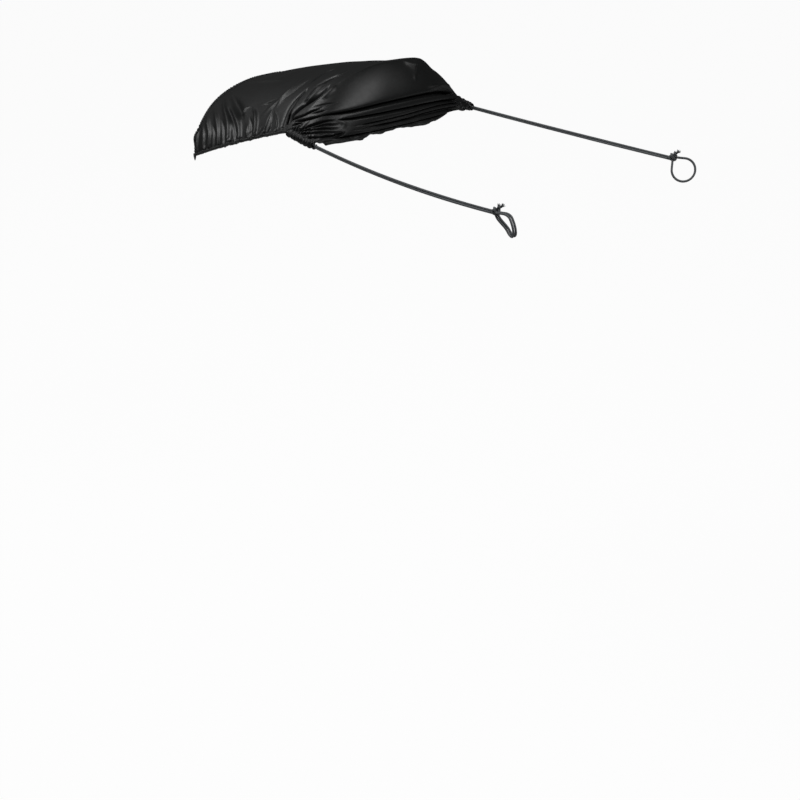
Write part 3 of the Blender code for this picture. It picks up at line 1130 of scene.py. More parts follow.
    def ripples(self, grid: Array) -> Array:
        """Return the height of the faint, uneven waves that loose cloth has everywhere.

        Args:
            grid: The points of the cloth.

        Returns:
            A height for each point.
        """
        height = np.zeros(grid.shape[:2])
        for number in range(self.ripple_count):
            turn = math.tau * scatter(number + 0.3)
            tilt = 1.6 * (scatter(number + 0.6) - 0.5)
            way = np.array([math.cos(turn), math.sin(turn), tilt])
            aside = np.array([-math.sin(turn), math.cos(turn), 0.4])
            pace = 45.0 + 95.0 * scatter(number + 0.9)
            drift = 1.4 * np.sin(grid @ aside * pace * 0.37 + 5.0 * number)
            height += np.sin(grid @ way * pace + drift) * 60.0 / pace
        return self.ripple * height

    def shape(self) -> None:
        """Work out every point of the folded cloth."""
        along, across = self.rows(), self.places()
        grid = self.surface(along[:, None], across[None, :])
        swollen = grid + grid_normals(grid) * self.swell(along[:, None], across[None, :])[..., None]
        normals = grid_normals(swollen)
        moves = self.fold_moves(swollen, normals, along, across)
        self.grid = swollen + moves + normals * self.ripples(swollen)[..., None]

    @property
    def inner(self) -> slice:
        """The columns between the two side edges."""
        return slice(self.sleeve_columns, self.sleeve_columns + self.columns)

    def hem_line(self, edge: Array, inside: Array, offset: float) -> Array:
        """Return the line that runs just outside an edge of the cloth.

        Args:
            edge: The points of the edge.
            inside: The points of a line a little way inside it.
            offset: How far outside the edge the line runs.

        Returns:
            The line's points.
        """
        window = 13
        leave = np.pad(directions(edge - inside), ((window // 2, window // 2), (0, 0)), mode="edge")
        even = np.ones(window) / window
        leave = np.stack([np.convolve(leave[:, k], even, "valid") for k in range(3)], 1)
        return edge + leave / np.linalg.norm(leave, axis=1, keepdims=True) * offset

    def side_hem_line(self, side: Side, end: float, offset: float) -> Array:
        """Return the line of a side hem, which starts at the rear corner.

        Args:
            side: The hem's side.
            end: The along place where it ends.
            offset: How far outside the edge it runs.

        Returns:
            The line's points.
        """
        count = int(np.searchsorted(self.rows(), end))
        columns = (self.inner.start, self.inner.start + 4)
        if side is Side.FAR:
            columns = (self.inner.stop - 1, self.inner.stop - 5)
        return self.hem_line(self.grid[:count, columns[0]], self.grid[:count, columns[1]], offset)

    def rear_hem_line(self, offset: float) -> Array:
        """Return the line of the rear hem, from the near corner to the far one."""
        return self.hem_line(self.grid[0, self.inner], self.grid[3, self.inner], offset)

    def mesh(self, cloth: bpy.types.Material) -> bpy.types.Object:
        """Turn the grid into a sheet, with the cloth's lengths in metres as its UV places.

        Args:
            cloth: The cloth's material.

        Returns:
            The sheet's object.
        """
        rows, columns = self.grid.shape[:2]
        run = arc_lengths(self.grid[:, columns // 2])
        girth = arc_lengths(self.grid[self.cover_rows // 2, self.inner])
        step = girth[-1] / (self.columns - 1)
        outer = step * np.arange(1, self.sleeve_columns + 1)
        u = np.concatenate([-outer[::-1], girth, girth[-1] + outer])
        faces = grid_faces(rows, columns)
        row, column = np.divmod(faces, columns)
        # Only the sail has sleeves, so the columns beyond its side edges end at the rim.
        beyond = (column < self.inner.start) | (column >= self.inner.stop)
        kept = ~((row < self.cover_rows - 1).any(axis=1) & beyond.any(axis=1))
        faces = faces[kept]
        used, renumbered = np.unique(faces, return_inverse=True)
        renumbered = renumbered.reshape(faces.shape)
        uv = np.stack(np.meshgrid(u, run), axis=-1).reshape(-1, 2)[faces.ravel()]
        points = self.grid.reshape(-1, 3)[used]
        sheet = add_mesh("shade_cloth", points, renumbered, cloth, CLOTH_UV, uv)
        lighter = sheet.modifiers.new("lighter", "DECIMATE")
        lighter.ratio = min(1.0, self.triangles / (2.0 * len(faces)))
        apply_modifiers(sheet)
        return sheet

    def build(self, cloth: bpy.types.Material) -> bpy.types.Object:
        """Build the sheet and hide the frame's pieces that it stands for.

        Args:
            cloth: The cloth's material.

        Returns:
            The sheet's object.
        """
        sheet = self.mesh(cloth)
        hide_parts("cap_panel", "sail_panel", "near_sail_sleeve", "far_sail_sleeve")
        skew = unit((NEAR_ROUTE.half_spacing * 2.0, NEAR_ROUTE.mouth_x - FAR_ROUTE.mouth_x, 0.0))
        end = skew * float(np.dot(skew, FAR_ROUTE.mouth * (1.0, 1.0, 0.0)))
        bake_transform(sheet)
        return sheet


@dataclass
class DoubledCord:
    """One side's two strands of elastic cord, from the cover's corner to the knot."""

    side: Side
    elastic: bpy.types.Material
    diameter: float = 0.0034
    points: int = 90
    ring_points: int = 16
    knot_turn: float = 48.0
    turn_start: float = 0.45
    turn_end: float = 0.98
    # Each strand goes this far into the knot.
    end_overlap: float = 0.002

    def strand_path(self, strand: Strand) -> Array:
        """Return a strand's middle line, which turns over towards the knot.

        Args:
            strand: The strand.

        Returns:
            The line's points.
        """
        route = ROUTES[self.side]
        share = np.linspace(0.0, 1.0, self.points)
        path = route.line(mix(route.start_x, route.end_x + self.end_overlap, share))
        half = self.diameter / 2
        turn = np.radians(self.knot_turn) * smoothstep(self.turn_start, self.turn_end, share)
        path[:, 2] += strand.value * half * np.cos(turn)
        path[:, 1] += strand.value * half * np.sin(turn)
        return path

    def build(self, with_pieces: Mapping[Strand, Sequence[bpy.types.Object]]) -> None:
        """Build both strands, from the cover's corner to the knot.

        Args:
            with_pieces: Not used.
        """
        for strand in Strand:
            path = self.strand_path(strand)
            name = f"{self.side.word}_cord_{strand.word}"
            tube = add_tube(f"{name}_elastic", path, self.diameter / 2, self.ring_points, self.elastic)
            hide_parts(name)
            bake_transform(tube)


@dataclass
class Knot:
    """An overhand knot in the doubled cord, with its two cut ends."""

    side: Side
    elastic: bpy.types.Material
    gap: float = 0.0003
    lift: float = 0.0030
    length: float = 0.0125
    radius: float = 0.0062
    strand_diameter: float = 0.0032
    strand_shift: float = 0.0011
    path_points: int = 72
    ring_points: int = 12
    # How far the turns swing from the knot's middle, as a share of its length.
    swing_share: float = 0.42
    end_length: float = 0.0115
    end_lean: float = 38.0
    end_depth: float = 0.0018
    # The share of a cut end that is still braided.
    braided_share: float = 0.72
    end_tightness: float = 0.96
    end_flare: float = 0.12
    yarns: int = 24
    yarn_ring: float = 0.0014
    yarn_radius: float = 0.00040
    yarn_taper: float = 0.6
    yarn_flare: float = 0.0020

    @property
    def middle(self) -> Array:
        """The knot's middle point."""
        route = ROUTES[self.side]
        return route.line(np.float64(route.end_x)) + (self.gap + self.length / 2, 0.0, self.lift)

    def turn_path(self, shift: float) -> Array:
        """Return one strand's way through the knot.

        Args:
            shift: How far it is shifted towards the handle.

        Returns:
            The points of the strand's middle line.
        """
        t = np.linspace(0.0, math.tau, self.path_points, endpoint=False)
        swing = (2.0 + np.cos(3 * t)) / 3.0
        inner = self.radius - self.strand_diameter / 2
        x = np.sin(3 * t) * (self.length - self.strand_diameter) * self.swing_share
        y = np.cos(2 * t) * swing * inner
        z = np.sin(2 * t) * swing * inner
        path = np.stack([x + shift, y, z], axis=-1)
        return self.middle + np.concatenate([path, path[:1]])

    def build(self) -> bpy.types.Object:
        """Build the knot's interlaced turns as one piece.

        Returns:
            The knot's object.
        """
        name = f"{self.side.word}_knot"
        radius = self.strand_diameter / 2
        pieces = [
            add_tube(f"{name}_turn", self.turn_path(shift), radius, self.ring_points, self.elastic)
            for shift in (-self.strand_shift, self.strand_shift)
        ]
        knot = join(pieces, f"{self.side.word}_overhand_knot")
        dress(knot, CORD_SLOT, self.side.tip, name)
        return knot

    def end_reach(self, share: Array, angle: Array) -> Array:
        """Return a cut end's radius, which flares where its jacket opens."""
        return self.strand_diameter / 2 * (self.end_tightness + self.end_flare * share**2)

    def yarn_reach(self, share: Array, angle: Array) -> Array:
        """Return a frayed yarn's radius, which gets smaller towards its tip."""
        return self.yarn_radius * (1.0 - self.yarn_taper * share)

    def yarn(self, seed: float, turn: float, body: Array, way: Array) -> bpy.types.Object:
        """Build one frayed yarn at a cut end.

        Args:
            seed: What its length and its flare are drawn from.
            turn: Where it leaves the end, in radians round it.
            body: The points of the end's middle line.
            way: The end's direction.

        Returns:
            The yarn's object.
        """
        aside, over = path_frames(body)
        out = aside[-1] * math.cos(turn) + over[-1] * math.sin(turn)
        share = np.linspace(0.0, 1.0, 5)[:, None]
        length = self.end_length * (0.24 + 0.16 * scatter(seed + 0.3))
        flare = self.yarn_flare * (0.3 + scatter(seed + 0.6))
        path = body[-2] + out * self.yarn_ring + way * length * share + out * flare * share**2
        return add_tube("yarn", path, self.yarn_reach, 5, self.elastic)

    def build_end(self, strand: Strand) -> bpy.types.Object:
        """Build a cut end of the cord with its frayed yarns.

        Args:
            strand: The strand that the end belongs to.

        Returns:
            The end's object.
        """
        spread = math.radians(24.0 if strand is Strand.UPPER else -8.0)
        lean = math.radians(self.end_lean)
        sideways = -self.side.value * math.sin(spread)
        way = unit((math.sin(lean), sideways, math.cos(lean) * math.cos(spread)))
        start = self.middle + way * (self.radius - self.end_depth)
        body = start + way * np.linspace(0.0, self.end_length * self.braided_share, 8)[:, None]
        pieces = [add_tube("cut_end", body, self.end_reach, self.ring_points, self.elastic)]
        for number in range(self.yarns):
            seed = number + 17.0 * strand.value + 5.0 * self.side.value
            turn = math.tau * (number + 0.5 * scatter(seed)) / self.yarns
            pieces.append(self.yarn(seed, turn, body, way))
        end = join(pieces, f"{self.side.word}_frayed_end_{strand.word}")
        dress(end, CORD_SLOT, self.side.tip, f"{self.side.word}_cord_end_{strand.word}")
        return end


@dataclass
class HandleLoop:
    """One side's loop of doubled cord round a handle tube."""

    side: Side
    elastic: bpy.types.Material
    turn: float
    knot_angle: float
    slant: float
    tube_diameter: float = 0.032
    cord_diameter: float = 0.0034
    arm_slope: float = 0.62
    reach: float = 0.026
    end_gap: float = -0.0022
    clearance: float = 0.0003
    knot_radius: float = 0.0062
    points: int = 60
    ring_points: int = 12

    def axes(self) -> tuple[Array, Array, Array]:
        """Return the directions that the loop is laid out in.

        Returns:
            The handle tube's axis at the loop, and the directions backwards and upwards from it.
        """
        turn = math.radians(self.turn)
        arm = unit((-1.0, 0.0, -self.arm_slope))
        axis = unit(np.array([0.0, self.side.value * math.cos(turn), 0.0]) + arm * math.sin(turn))
        backwards = np.array([-1.0, 0.0, 0.0])
        backwards = unit(backwards - axis * np.dot(backwards, axis))
        upwards = np.cross(axis, backwards)
        return axis, backwards, upwards * math.copysign(1.0, upwards[2])

    def path(self, shift: float, knot: Array) -> Array:
        """Return a strand's way from the knot round the tube and back.

        Args:
            shift: How far it is shifted along the tube.
            knot: The knot's middle point.

        Returns:
            The points of the strand's middle line.
        """
        axis, backwards, upwards = self.axes()
        radius = (self.tube_diameter + self.cord_diameter) / 2 + self.clearance
        start = math.radians(self.knot_angle)
        middle = knot - (backwards * math.cos(start) + upwards * math.sin(start)) * self.reach
        leave = math.acos(radius / self.reach)
        leg = math.sqrt(self.reach**2 - radius**2) - self.knot_radius - self.end_gap
        first = leave - math.atan(leg / radius)
        points = []
        for turn in np.linspace(first, math.tau - first, self.points):
            from_knot = min(turn, math.tau - turn)
            spread = radius / math.cos(leave - from_knot) if from_knot < leave else radius
            ease = min(from_knot / (2.0 * leave), 1.0)
            slant = self.slant * ease * ease * (3.0 - 2.0 * ease)
            spoke = backwards * math.cos(start + turn) + upwards * math.sin(start + turn)
            points.append(middle + spoke * spread + axis * (shift - slant))
        return np.array(points)

    def build(self, knot: Array) -> None:
        """Build both strands of the loop.

        Args:
            knot: The knot's middle point.
        """
        radius = self.cord_diameter / 2
        spacing = (self.cord_diameter + self.clearance) / 2
        for word, shift in (("inner", -spacing), ("outer", spacing)):
            path = self.path(shift, knot)
            name = f"{self.side.word}_loop_{word}"
            tube = add_tube(f"{name}_elastic", path, radius, self.ring_points, self.elastic)
            dress(tube, CORD_SLOT, self.side.tip, name)


@dataclass
class ElasticHem:
    """A casing drawn up by the elastic that runs in it."""

    name: str
    path: Array
    nodes: tuple[str, ...]
    binding: bpy.types.Material
    radius: float = 0.0031
    gather_spacing: float = 0.0052
    gather_depth: float = 0.0006
    ring_points: int = 10

    def reach(self, share: Array, angle: Array) -> Array:
        """Return the casing's radius with its uneven gathers.

        Args:
            share: The share of the casing's length.
            angle: The angle round it.

        Returns:
            A radius for each place.
        """
        gathers = round(float(arc_lengths(self.path)[-1]) / self.gather_spacing)
        drift = 2.6 * np.sin(31.0 * share) + 1.9 * np.sin(83.0 * share + 1.0)
        wave = np.sin(math.tau * gathers * share + drift + 0.9 * np.cos(angle))
        wave = wave * (0.55 + 0.45 * np.sin(57.0 * share + 2.0))
        close = 1.0 - 0.35 * smoothstep(0.985, 1.0, np.abs(2.0 * share - 1.0))
        return (self.radius + self.gather_depth * (wave - 0.5)) * close

    def build(self) -> None:
        """Build the puckered casing."""
        hem = add_tube(self.name, self.path, self.reach, self.ring_points, self.binding, CLOTH_UV)
        dress(hem, HEM_SLOT, COVER, *self.nodes)


@dataclass
class CoverHems:
    """The cover's two side hems, its rear hem, its rear corner tails and its cord anchors."""

    cloth: ShadeCloth
    binding: bpy.types.Material
    offset: float = 0.0022
    cloth_thickness: float = 0.001
    step: float = 1e-4
    side_end: float = 0.955
    tail_offset: float = 0.0033
    tail_overlap: float = 0.0005
    tail_length: float = 0.013
    tail_radius: float = 0.0031
    anchor_radius: float = 0.0042
    anchor_clearance: float = -0.0012
    # The stub stops this far behind the start of the cord, and runs straight from this far back.
    stub_gap: float = 0.0003
    stub_reach: float = 0.0033
    stitches: float = 5.0

    @property
    def arch(self) -> HoodArch:
        """The form that the cover lies on."""
        return self.cloth.arch

    def direction(self, along: float, across: float, ahead: float, aside: float) -> Array:
        """Return the direction of a small step on the cover.

        Args:
            along: The along place that the step starts from.
            across: The across place that it starts from.
            ahead: How it goes along.
            aside: How it goes across.

        Returns:
            The direction, with a length of one.
        """
        after = self.arch.place(along + ahead * self.step, across + aside * self.step)
        return unit(after - self.arch.place(along, across))

    def leaving(
        self, along: float, across: float, away: tuple[float, float], edge: tuple[float, float]
    ) -> Array:
        """Return the direction that leads off the cover, square to its edge.

        Args:
            along: The along place of a point on the edge.
            across: Its across place.
            away: A step off the cover, along and across.
            edge: A step on the edge.

        Returns:
            The direction, with a length of one.
        """
        off = self.direction(along, across, *away)
        rim = self.direction(along, across, *edge)
        return unit(off - rim * np.dot(off, rim))

    def corner_line(self, side: Side, offset: float) -> Array:
        """Return the line that runs below a side edge to its front corner.

        Args:
            side: The side of the edge.
            offset: How far below the edge the line runs.

        Returns:
            The line's points.
        """
        sign = float(side.value)
        outwards = np.array([0.0, sign * self.cloth_thickness / 2, 0.0])
        points = []
        for along in np.linspace(self.side_end, 1.0, 4):
            down = self.leaving(along, sign, (0.0, sign), (-1.0, 0.0))
            points.append(self.arch.place(along, sign) + down * offset + outwards)
        return np.array(points)

    def tail_reach(self, share: Array, angle: Array) -> Array:
        """Return a tail's radius, creased lengthwise and pointed at its end."""
        crease = 1.0 + 0.16 * np.cos(3.0 * angle + 2.0 * share)
        return self.tail_radius * crease * (1.0 - 0.8 * share**1.6)

    def build_tail(self, side: Side) -> None:
        """Build the small pointed end of cloth at a rear corner.

        Args:
            side: The corner's side.
        """
        sign = float(side.value)
        back = self.leaving(0.0, sign, (-1.0, 0.0), (0.0, -sign))
        down = self.direction(0.0, sign, 0.0, sign)
        start = self.arch.place(0.0, sign) + back * self.tail_offset - down * self.tail_overlap
        path = start + down * self.tail_length * np.linspace(0.0, 1.0, 14)[:, None]
        name = f"{side.word}_rear_corner_tail"
        tail = add_tube(name, path, self.tail_reach, 18, self.binding, CLOTH_UV)
        dress(tail, HEM_SLOT, COVER, f"{side.word}_rear_tail")

    def anchor_reach(self, share: Array, angle: Array) -> Array:
        """Return an anchor's radius, drawn in by its stitches."""
        drawn = 1.0 - 0.10 * np.maximum(np.cos(math.tau * self.stitches * share), 0.0)
        return self.anchor_radius * 0.94 * drawn * (1.0 + 0.05 * np.cos(4.0 * angle))

    def build_anchor(self, side: Side) -> None:
        """Build the sewn stub that holds the folded end of a cord.

        Args:
            side: The cord's side.
        """
        route = ROUTES[side]
        edge = self.corner_line(side, self.anchor_radius + self.anchor_clearance)
        stub = route.line(np.array([route.start_x - self.stub_reach, route.start_x - self.stub_gap]))
        path = smooth_line(np.concatenate([edge[[0, 2, 3]], stub]), 26)
        name = f"{side.word}_sewn_corner"
        anchor = add_tube(name, path, self.anchor_reach, 20, self.binding, CLOTH_UV)
        dress(anchor, HEM_SLOT, COVER, f"{side.word}_cord_anchor")

    def build(self) -> None:
        """Build every hem, tail and anchor of the cover."""
        line = self.cloth.rear_hem_line(self.offset)
        ElasticHem("cover_rear_hem", line, ("rear_hem", "rear_elastic"), self.binding).build()
        for side in Side:
            line = self.cloth.side_hem_line(side, self.side_end, self.offset)
            nodes = (f"{side.word}_side_hem", f"{side.word}_side_elastic")
            ElasticHem(f"{side.word}_puckered_hem", line, nodes, self.binding).build()
            self.build_tail(side)
            self.build_anchor(side)


@dataclass
class FrontHem:
    """The stitched hem along the sail's free edge."""

    cloth: ShadeCloth
    binding: bpy.types.Material
    width: float = 0.0060
    thickness: float = 0.0022
    overlap: float = 0.0008
    end_columns: int = 1
    ring_points: int = 14

    def build(self) -> None:
        """Build the hem as a flattened tube that follows the sail's edge."""
        columns = slice(
            self.cloth.inner.start + self.end_columns, self.cloth.inner.stop - self.end_columns
        )
        edge = self.cloth.grid[-1, columns]
        middle = self.cloth.hem_line(edge, self.cloth.grid[-5, columns], self.width / 2 - self.overlap)
        ahead = directions(middle - edge)
        flat = np.cross(directions(np.gradient(edge, axis=0)), ahead)
        angles = np.linspace(0.0, math.tau, self.ring_points, endpoint=False)
        ring = (
            ahead[:, None] * (np.cos(angles) * self.width / 2)[None, :, None]
            + flat[:, None] * (np.sin(angles) * self.thickness / 2)[None, :, None]
        )
        rings = middle[:, None] + ring
        faces, uv = ring_skin(arc_lengths(edge), self.ring_points)
        last = (len(edge) - 1) * self.ring_points
        faces.append(tuple(range(self.ring_points - 1, -1, -1)))
        faces.append(tuple(last + spot for spot in range(self.ring_points)))
        uv += [(0.0, 0.0)] * (2 * self.ring_points)
        points = rings.reshape(-1, 3)
        hem = add_mesh("sail_front_hem", points, faces, self.binding, CLOTH_UV, np.array(uv))
        dress(hem, HEM_SLOT, SAIL_FRONT, "front_hem")


def place_object(item: bpy.types.Object, right: Array, up: Array, back: Array, place: Point) -> None:
    """Turn an object, put it in its place and add it to the scene.

    Args:
        item: A camera or a lamp, which looks away from its back.
        right: The direction to its right.
        up: The direction over it.
        back: The direction behind it.
        place: Where it stands.
    """
    pose = Matrix.Identity(4)
    for column, axis in enumerate((right, up, back, place)):
        for row in range(3):
            pose[row][column] = axis[row]
    item.matrix_world = pose
    bpy.context.scene.collection.objects.link(item)


@dataclass(frozen=True)
class Softbox:
    """A rectangular soft light, with its size in metres and its power in watts."""

    name: str
    place: Point
    size: tuple[float, float]
    power: float
    aim: Point = (-0.1, 0.0, -0.1)

    def build(self) -> None:
        """Hang the lamp, turned towards its aim."""
        data = bpy.data.lights.new(self.name, "AREA")
        data.shape = "RECTANGLE"
        data.size, data.size_y = self.size
        data.energy = self.power
        lamp = bpy.data.objects.new(self.name, data)
        back = unit(np.array(self.place) - np.array(self.aim))
        right = unit(np.cross((0.0, 0.0, 1.0), back))
        place_object(lamp, right, np.cross(back, right), back, self.place)
        lamp.visible_camera = False


@dataclass
class Studio:
    """The camera, the soft lights, the white backdrop and the pale floor."""

    azimuth: float = 52.31
    elevation: float = 28.85
    roll: float = -0.17
    place: Point = (1.8038, -1.3548, 0.5738)
    lens: float = 58.49
    sensor: float = 36.0
    nearest: float = 0.05
    world_level: float = 0.05
    softboxes: tuple[Softbox, ...] = (
        Softbox("left", (-1.377, -1.277, 1.770), (1.1, 1.1), 48.0),
        Softbox("front", (1.760, 0.195, 1.706), (1.1, 0.8), 37.0),
    )
    floor_height: float = -1.2006
    floor_reach: float = 30.0
    floor_colour: str = "#f4f4f4"
    floor_roughness: float = 0.9
    # The camera sees this share of the floor as plain white, and the rest takes the shade's shadow.
    floor_white: float = 0.96

    def build_camera(self) -> None:
        """Place the camera at the photograph's viewing angle."""
        turn, tilt, roll = (math.radians(a) for a in (self.azimuth, self.elevation, self.roll))
        back = np.array(
            [math.sin(turn) * math.cos(tilt), -math.cos(turn) * math.cos(tilt), math.sin(tilt)]
        )
        level = np.array([math.cos(turn), math.sin(turn), 0.0])
        upright = np.cross(back, level)
        right = level * math.cos(roll) + upright * math.sin(roll)
        data = bpy.data.cameras.new("camera")
        data.lens = self.lens
        data.sensor_width = self.sensor
        data.clip_start = self.nearest
        camera = bpy.data.objects.new("camera", data)
        place_object(camera, right, np.cross(back, right), back, self.place)
        bpy.context.scene.camera = camera

    def build_world(self) -> None:
        """Make the backdrop white to the eye and the room's light plain and even."""
        world = bpy.data.worlds.new("studio")
        bpy.context.scene.world = world
        world.use_nodes = True
        tree = world.node_tree
        tree.nodes.clear()
        rays = add_node(tree, "LightPath")
        # A polished face or glass mirrors the white backdrop. Cloth and cord are too rough for that.
        mirrored = add_node(
            tree,
            "Math",
            {"operation": "MULTIPLY"},
            {0: rays.outputs["Is Glossy Ray"], 1: rays.outputs["Is Singular Ray"]},
        )
        looked = add_node(
            tree,
            "Math",
            {"operation": "MAXIMUM"},
            {0: rays.outputs["Is Camera Ray"], 1: rays.outputs["Is Transmission Ray"]},
        )
        seen = add_node(
            tree, "Math", {"operation": "MAXIMUM"}, {0: looked.outputs[0], 1: mirrored.outputs[0]}
        )
        room, white = (
            add_node(tree, "Background", {"Color": linear("#ffffff"), "Strength": level})
            for level in (self.world_level, 1.0)
        )
        sources = {0: seen.outputs[0], 1: room.outputs[0], 2: white.outputs[0]}
        both = add_node(tree, "MixShader", None, sources)
        add_node(tree, "OutputWorld", None, {"Surface": both.outputs[0]})

    def build_floor(self) -> None:
        """Lay the pale floor, which looks white and still takes the shade's shadow."""
        mesh = bpy.data.meshes.new("floor")
        reach = self.floor_reach
        corners = [(-reach, -reach), (reach, -reach), (reach, reach), (-reach, reach)]
        mesh.from_pydata([(x, y, self.floor_height) for x, y in corners], [], [(0, 1, 2, 3)])
        floor = bpy.data.objects.new("floor", mesh)
        bpy.context.scene.collection.objects.link(floor)
        material, tree = new_material("white_paper")
        paper = add_node(
            tree,
            "BsdfPrincipled",
            {"Base Color": linear(self.floor_colour), "Roughness": self.floor_roughness},
        )
        rays = add_node(tree, "LightPath")
        share = add_node(
            tree,
            "Math",
            {"operation": "MULTIPLY", 1: self.floor_white},
            {0: rays.outputs["Is Camera Ray"]},
        )
        white = add_node(tree, "Emission", {"Color": linear("#ffffff"), "Strength": 1.0})
        sources = {0: share.outputs[0], 1: paper.outputs[0], 2: white.outputs[0]}
        both = add_node(tree, "MixShader", None, sources)
        add_node(tree, "OutputMaterial", None, {"Surface": both.outputs[0]})
        mesh.materials.append(material)

    def build(self) -> None:
        """Build the whole studio."""
        bpy.context.scene.view_settings.view_transform = "Standard"
        self.build_camera()
        self.build_world()
        for softbox in self.softboxes:
            softbox.build()
        self.build_floor()


# Ridges over the cover's sides, drawn up by the side hems.
SIDE_RIDGES = fold_table(
    (4.2, 2.6, 5, 0.08, 0.3, 0,
     ((0.167, -1.015), (0.159, -0.95), (0.139, -0.857), (0.079, -0.751), (0, -0.632))),
    (4, 2.6, 5, 0.08, 0.3, 0,
     ((0.281, -1.015), (0.266, -0.957), (0.226, -0.842), (0.147, -0.714), (0.023, -0.56))),
    (5.2, 2.8, 6, 0.08, 0.3, 0,
     ((0.407, -1.015), (0.387, -0.966), (0.323, -0.814), (0.193, -0.641), (0, -0.418))),
    (5, 2.8, 6, 0.08, 0.3, 0,
     ((0.527, -1.015), (0.507, -0.973), (0.446, -0.855), (0.341, -0.73), (0.201, -0.594))),
    (4.6, 2.6, 4.4, 0.08, 0.35, 0,
     ((0.668, -1.015), (0.651, -0.963), (0.61, -0.865), (0.545, -0.762), (0.446, -0.655))),
    (2.6, 2.4, 3.4, 0.3, 0.4, 0, ((0.406, -0.768), (0.407, -0.72), (0.414, -0.679), (0.446, -0.658))),
    (3.4, 2.2, 3, 0.12, 0.4, 0,
     ((0.754, -1.015), (0.747, -0.993), (0.729, -0.903), (0.703, -0.81), (0.656, -0.707))),
    (2.8, 1.8, 2.4, 0.15, 0.4, 0, ((0.86, -1.015), (0.84, -0.944), (0.78, -0.848), (0.707, -0.748))),
    (3.6, 2.4, 4, 0.08, 0.4, 0, ((0.021, -1.015), (0.016, -0.952), (0.003, -0.857), (0, -0.765))),
    (3.6, 2.2, 4, 0.08, 0.4, 0, ((0.112, -1.015), (0.101, -0.963), (0.072, -0.852), (0.001, -0.723))),
    both_sides=True,
)

# The broad hollow and the soft bumps on the near side.
NEAR_BUMPS = fold_table(
    (-6.5, 6.5, 9, 0.35, 0.5, 0, ((0.472, -0.818), (0.359, -0.693), (0.223, -0.557), (0.04, -0.372))),
    (2, 4.6, 5.2, 0.3, 0.4, 0,
     ((0.6, -0.812), (0.647, -0.726), (0.675, -0.628), (0.677, -0.511), (0.648, -0.366))),
    (-2.2, 3.4, 4.4, 0.4, 0.4, 0, ((0.71, -0.658), (0.718, -0.557), (0.719, -0.45), (0.719, -0.342))),
    (2.2, 4, 6, 0.35, 0.5, 0, ((0.045, -0.287), (0.201, -0.293), (0.382, -0.332), (0.537, -0.352))),
    (-2.4, 2.4, 3, 0.4, 0.5, 0, ((0.546, -0.676), (0.604, -0.651), (0.646, -0.613))),
)

# A last ridge above the side hems, and the hollows between the ridges.
SIDE_HOLLOWS = fold_table(
    (2.4, 2, 2.6, 0.2, 0.5, 0, ((0.593, -1.015), (0.579, -0.975), (0.545, -0.907), (0.521, -0.84))),
    (-3.2, 2.6, 3.6, 0.15, 0.4, 0, ((0.223, -1.015), (0.212, -0.953), (0.185, -0.855), (0.117, -0.744))),
    (-3.4, 2.6, 3.8, 0.15, 0.4, 0, ((0.346, -1.015), (0.327, -0.961), (0.28, -0.843), (0.192, -0.712))),
    (-3.8, 2.8, 4, 0.15, 0.4, 0,
     ((0.471, -1.015), (0.451, -0.97), (0.388, -0.846), (0.281, -0.712), (0.137, -0.561))),
    (-3.4, 2.8, 3.6, 0.15, 0.4, 0, ((0.616, -1.015), (0.601, -0.97), (0.563, -0.873), (0.493, -0.767))),
    (-3, 2.4, 3.2, 0.15, 0.4, 0, ((0.779, -1.015), (0.772, -0.97), (0.755, -0.885), (0.717, -0.79))),
    both_sides=True,
)

# Deep folds that run from the near gather up over the rim and the roof.
RIM_FOLDS = fold_table(
    (-17, 5, 5.2, 0.05, 0.5, 3.6,
     ((0.896, -0.968), (0.865, -0.864), (0.834, -0.76),
      (0.818, -0.665), (0.815, -0.578), (0.803, -0.486))),
    (-16, 4.2, 5.8, 0.05, 0.4, 3.4,
     ((0.927, -0.944), (0.902, -0.842), (0.913, -0.766), (0.937, -0.701),
      (0.958, -0.635), (0.965, -0.558), (0.953, -0.462))),
    (-12, 5, 6.4, 0.3, 0.55, 2.6,
     ((0.908, -0.72), (0.891, -0.61), (0.871, -0.496),
      (0.881, -0.408), (0.908, -0.334), (0.897, -0.218))),
    (-4, 2.8, 3.2, 0.4, 0.5, 0.6, ((0.782, -0.477), (0.762, -0.356), (0.763, -0.251), (0.786, -0.166))),
    (1.6, 5, 6, 0.2, 0.5, 0,
     ((0.703, -0.75), (0.692, -0.632), (0.679, -0.511), (0.664, -0.386), (0.645, -0.256))),
    (3, 2.6, 3.4, 0.35, 0.35, 0,
     ((0.908, -0.749), (0.921, -0.677), (0.924, -0.596), (0.924, -0.513), (0.928, -0.434))),
    (2.6, 4.4, 5, 0.35, 0.35, 0, ((0.989, -0.476), (1.045, -0.542), (1.058, -0.604), (1.032, -0.669))),
)

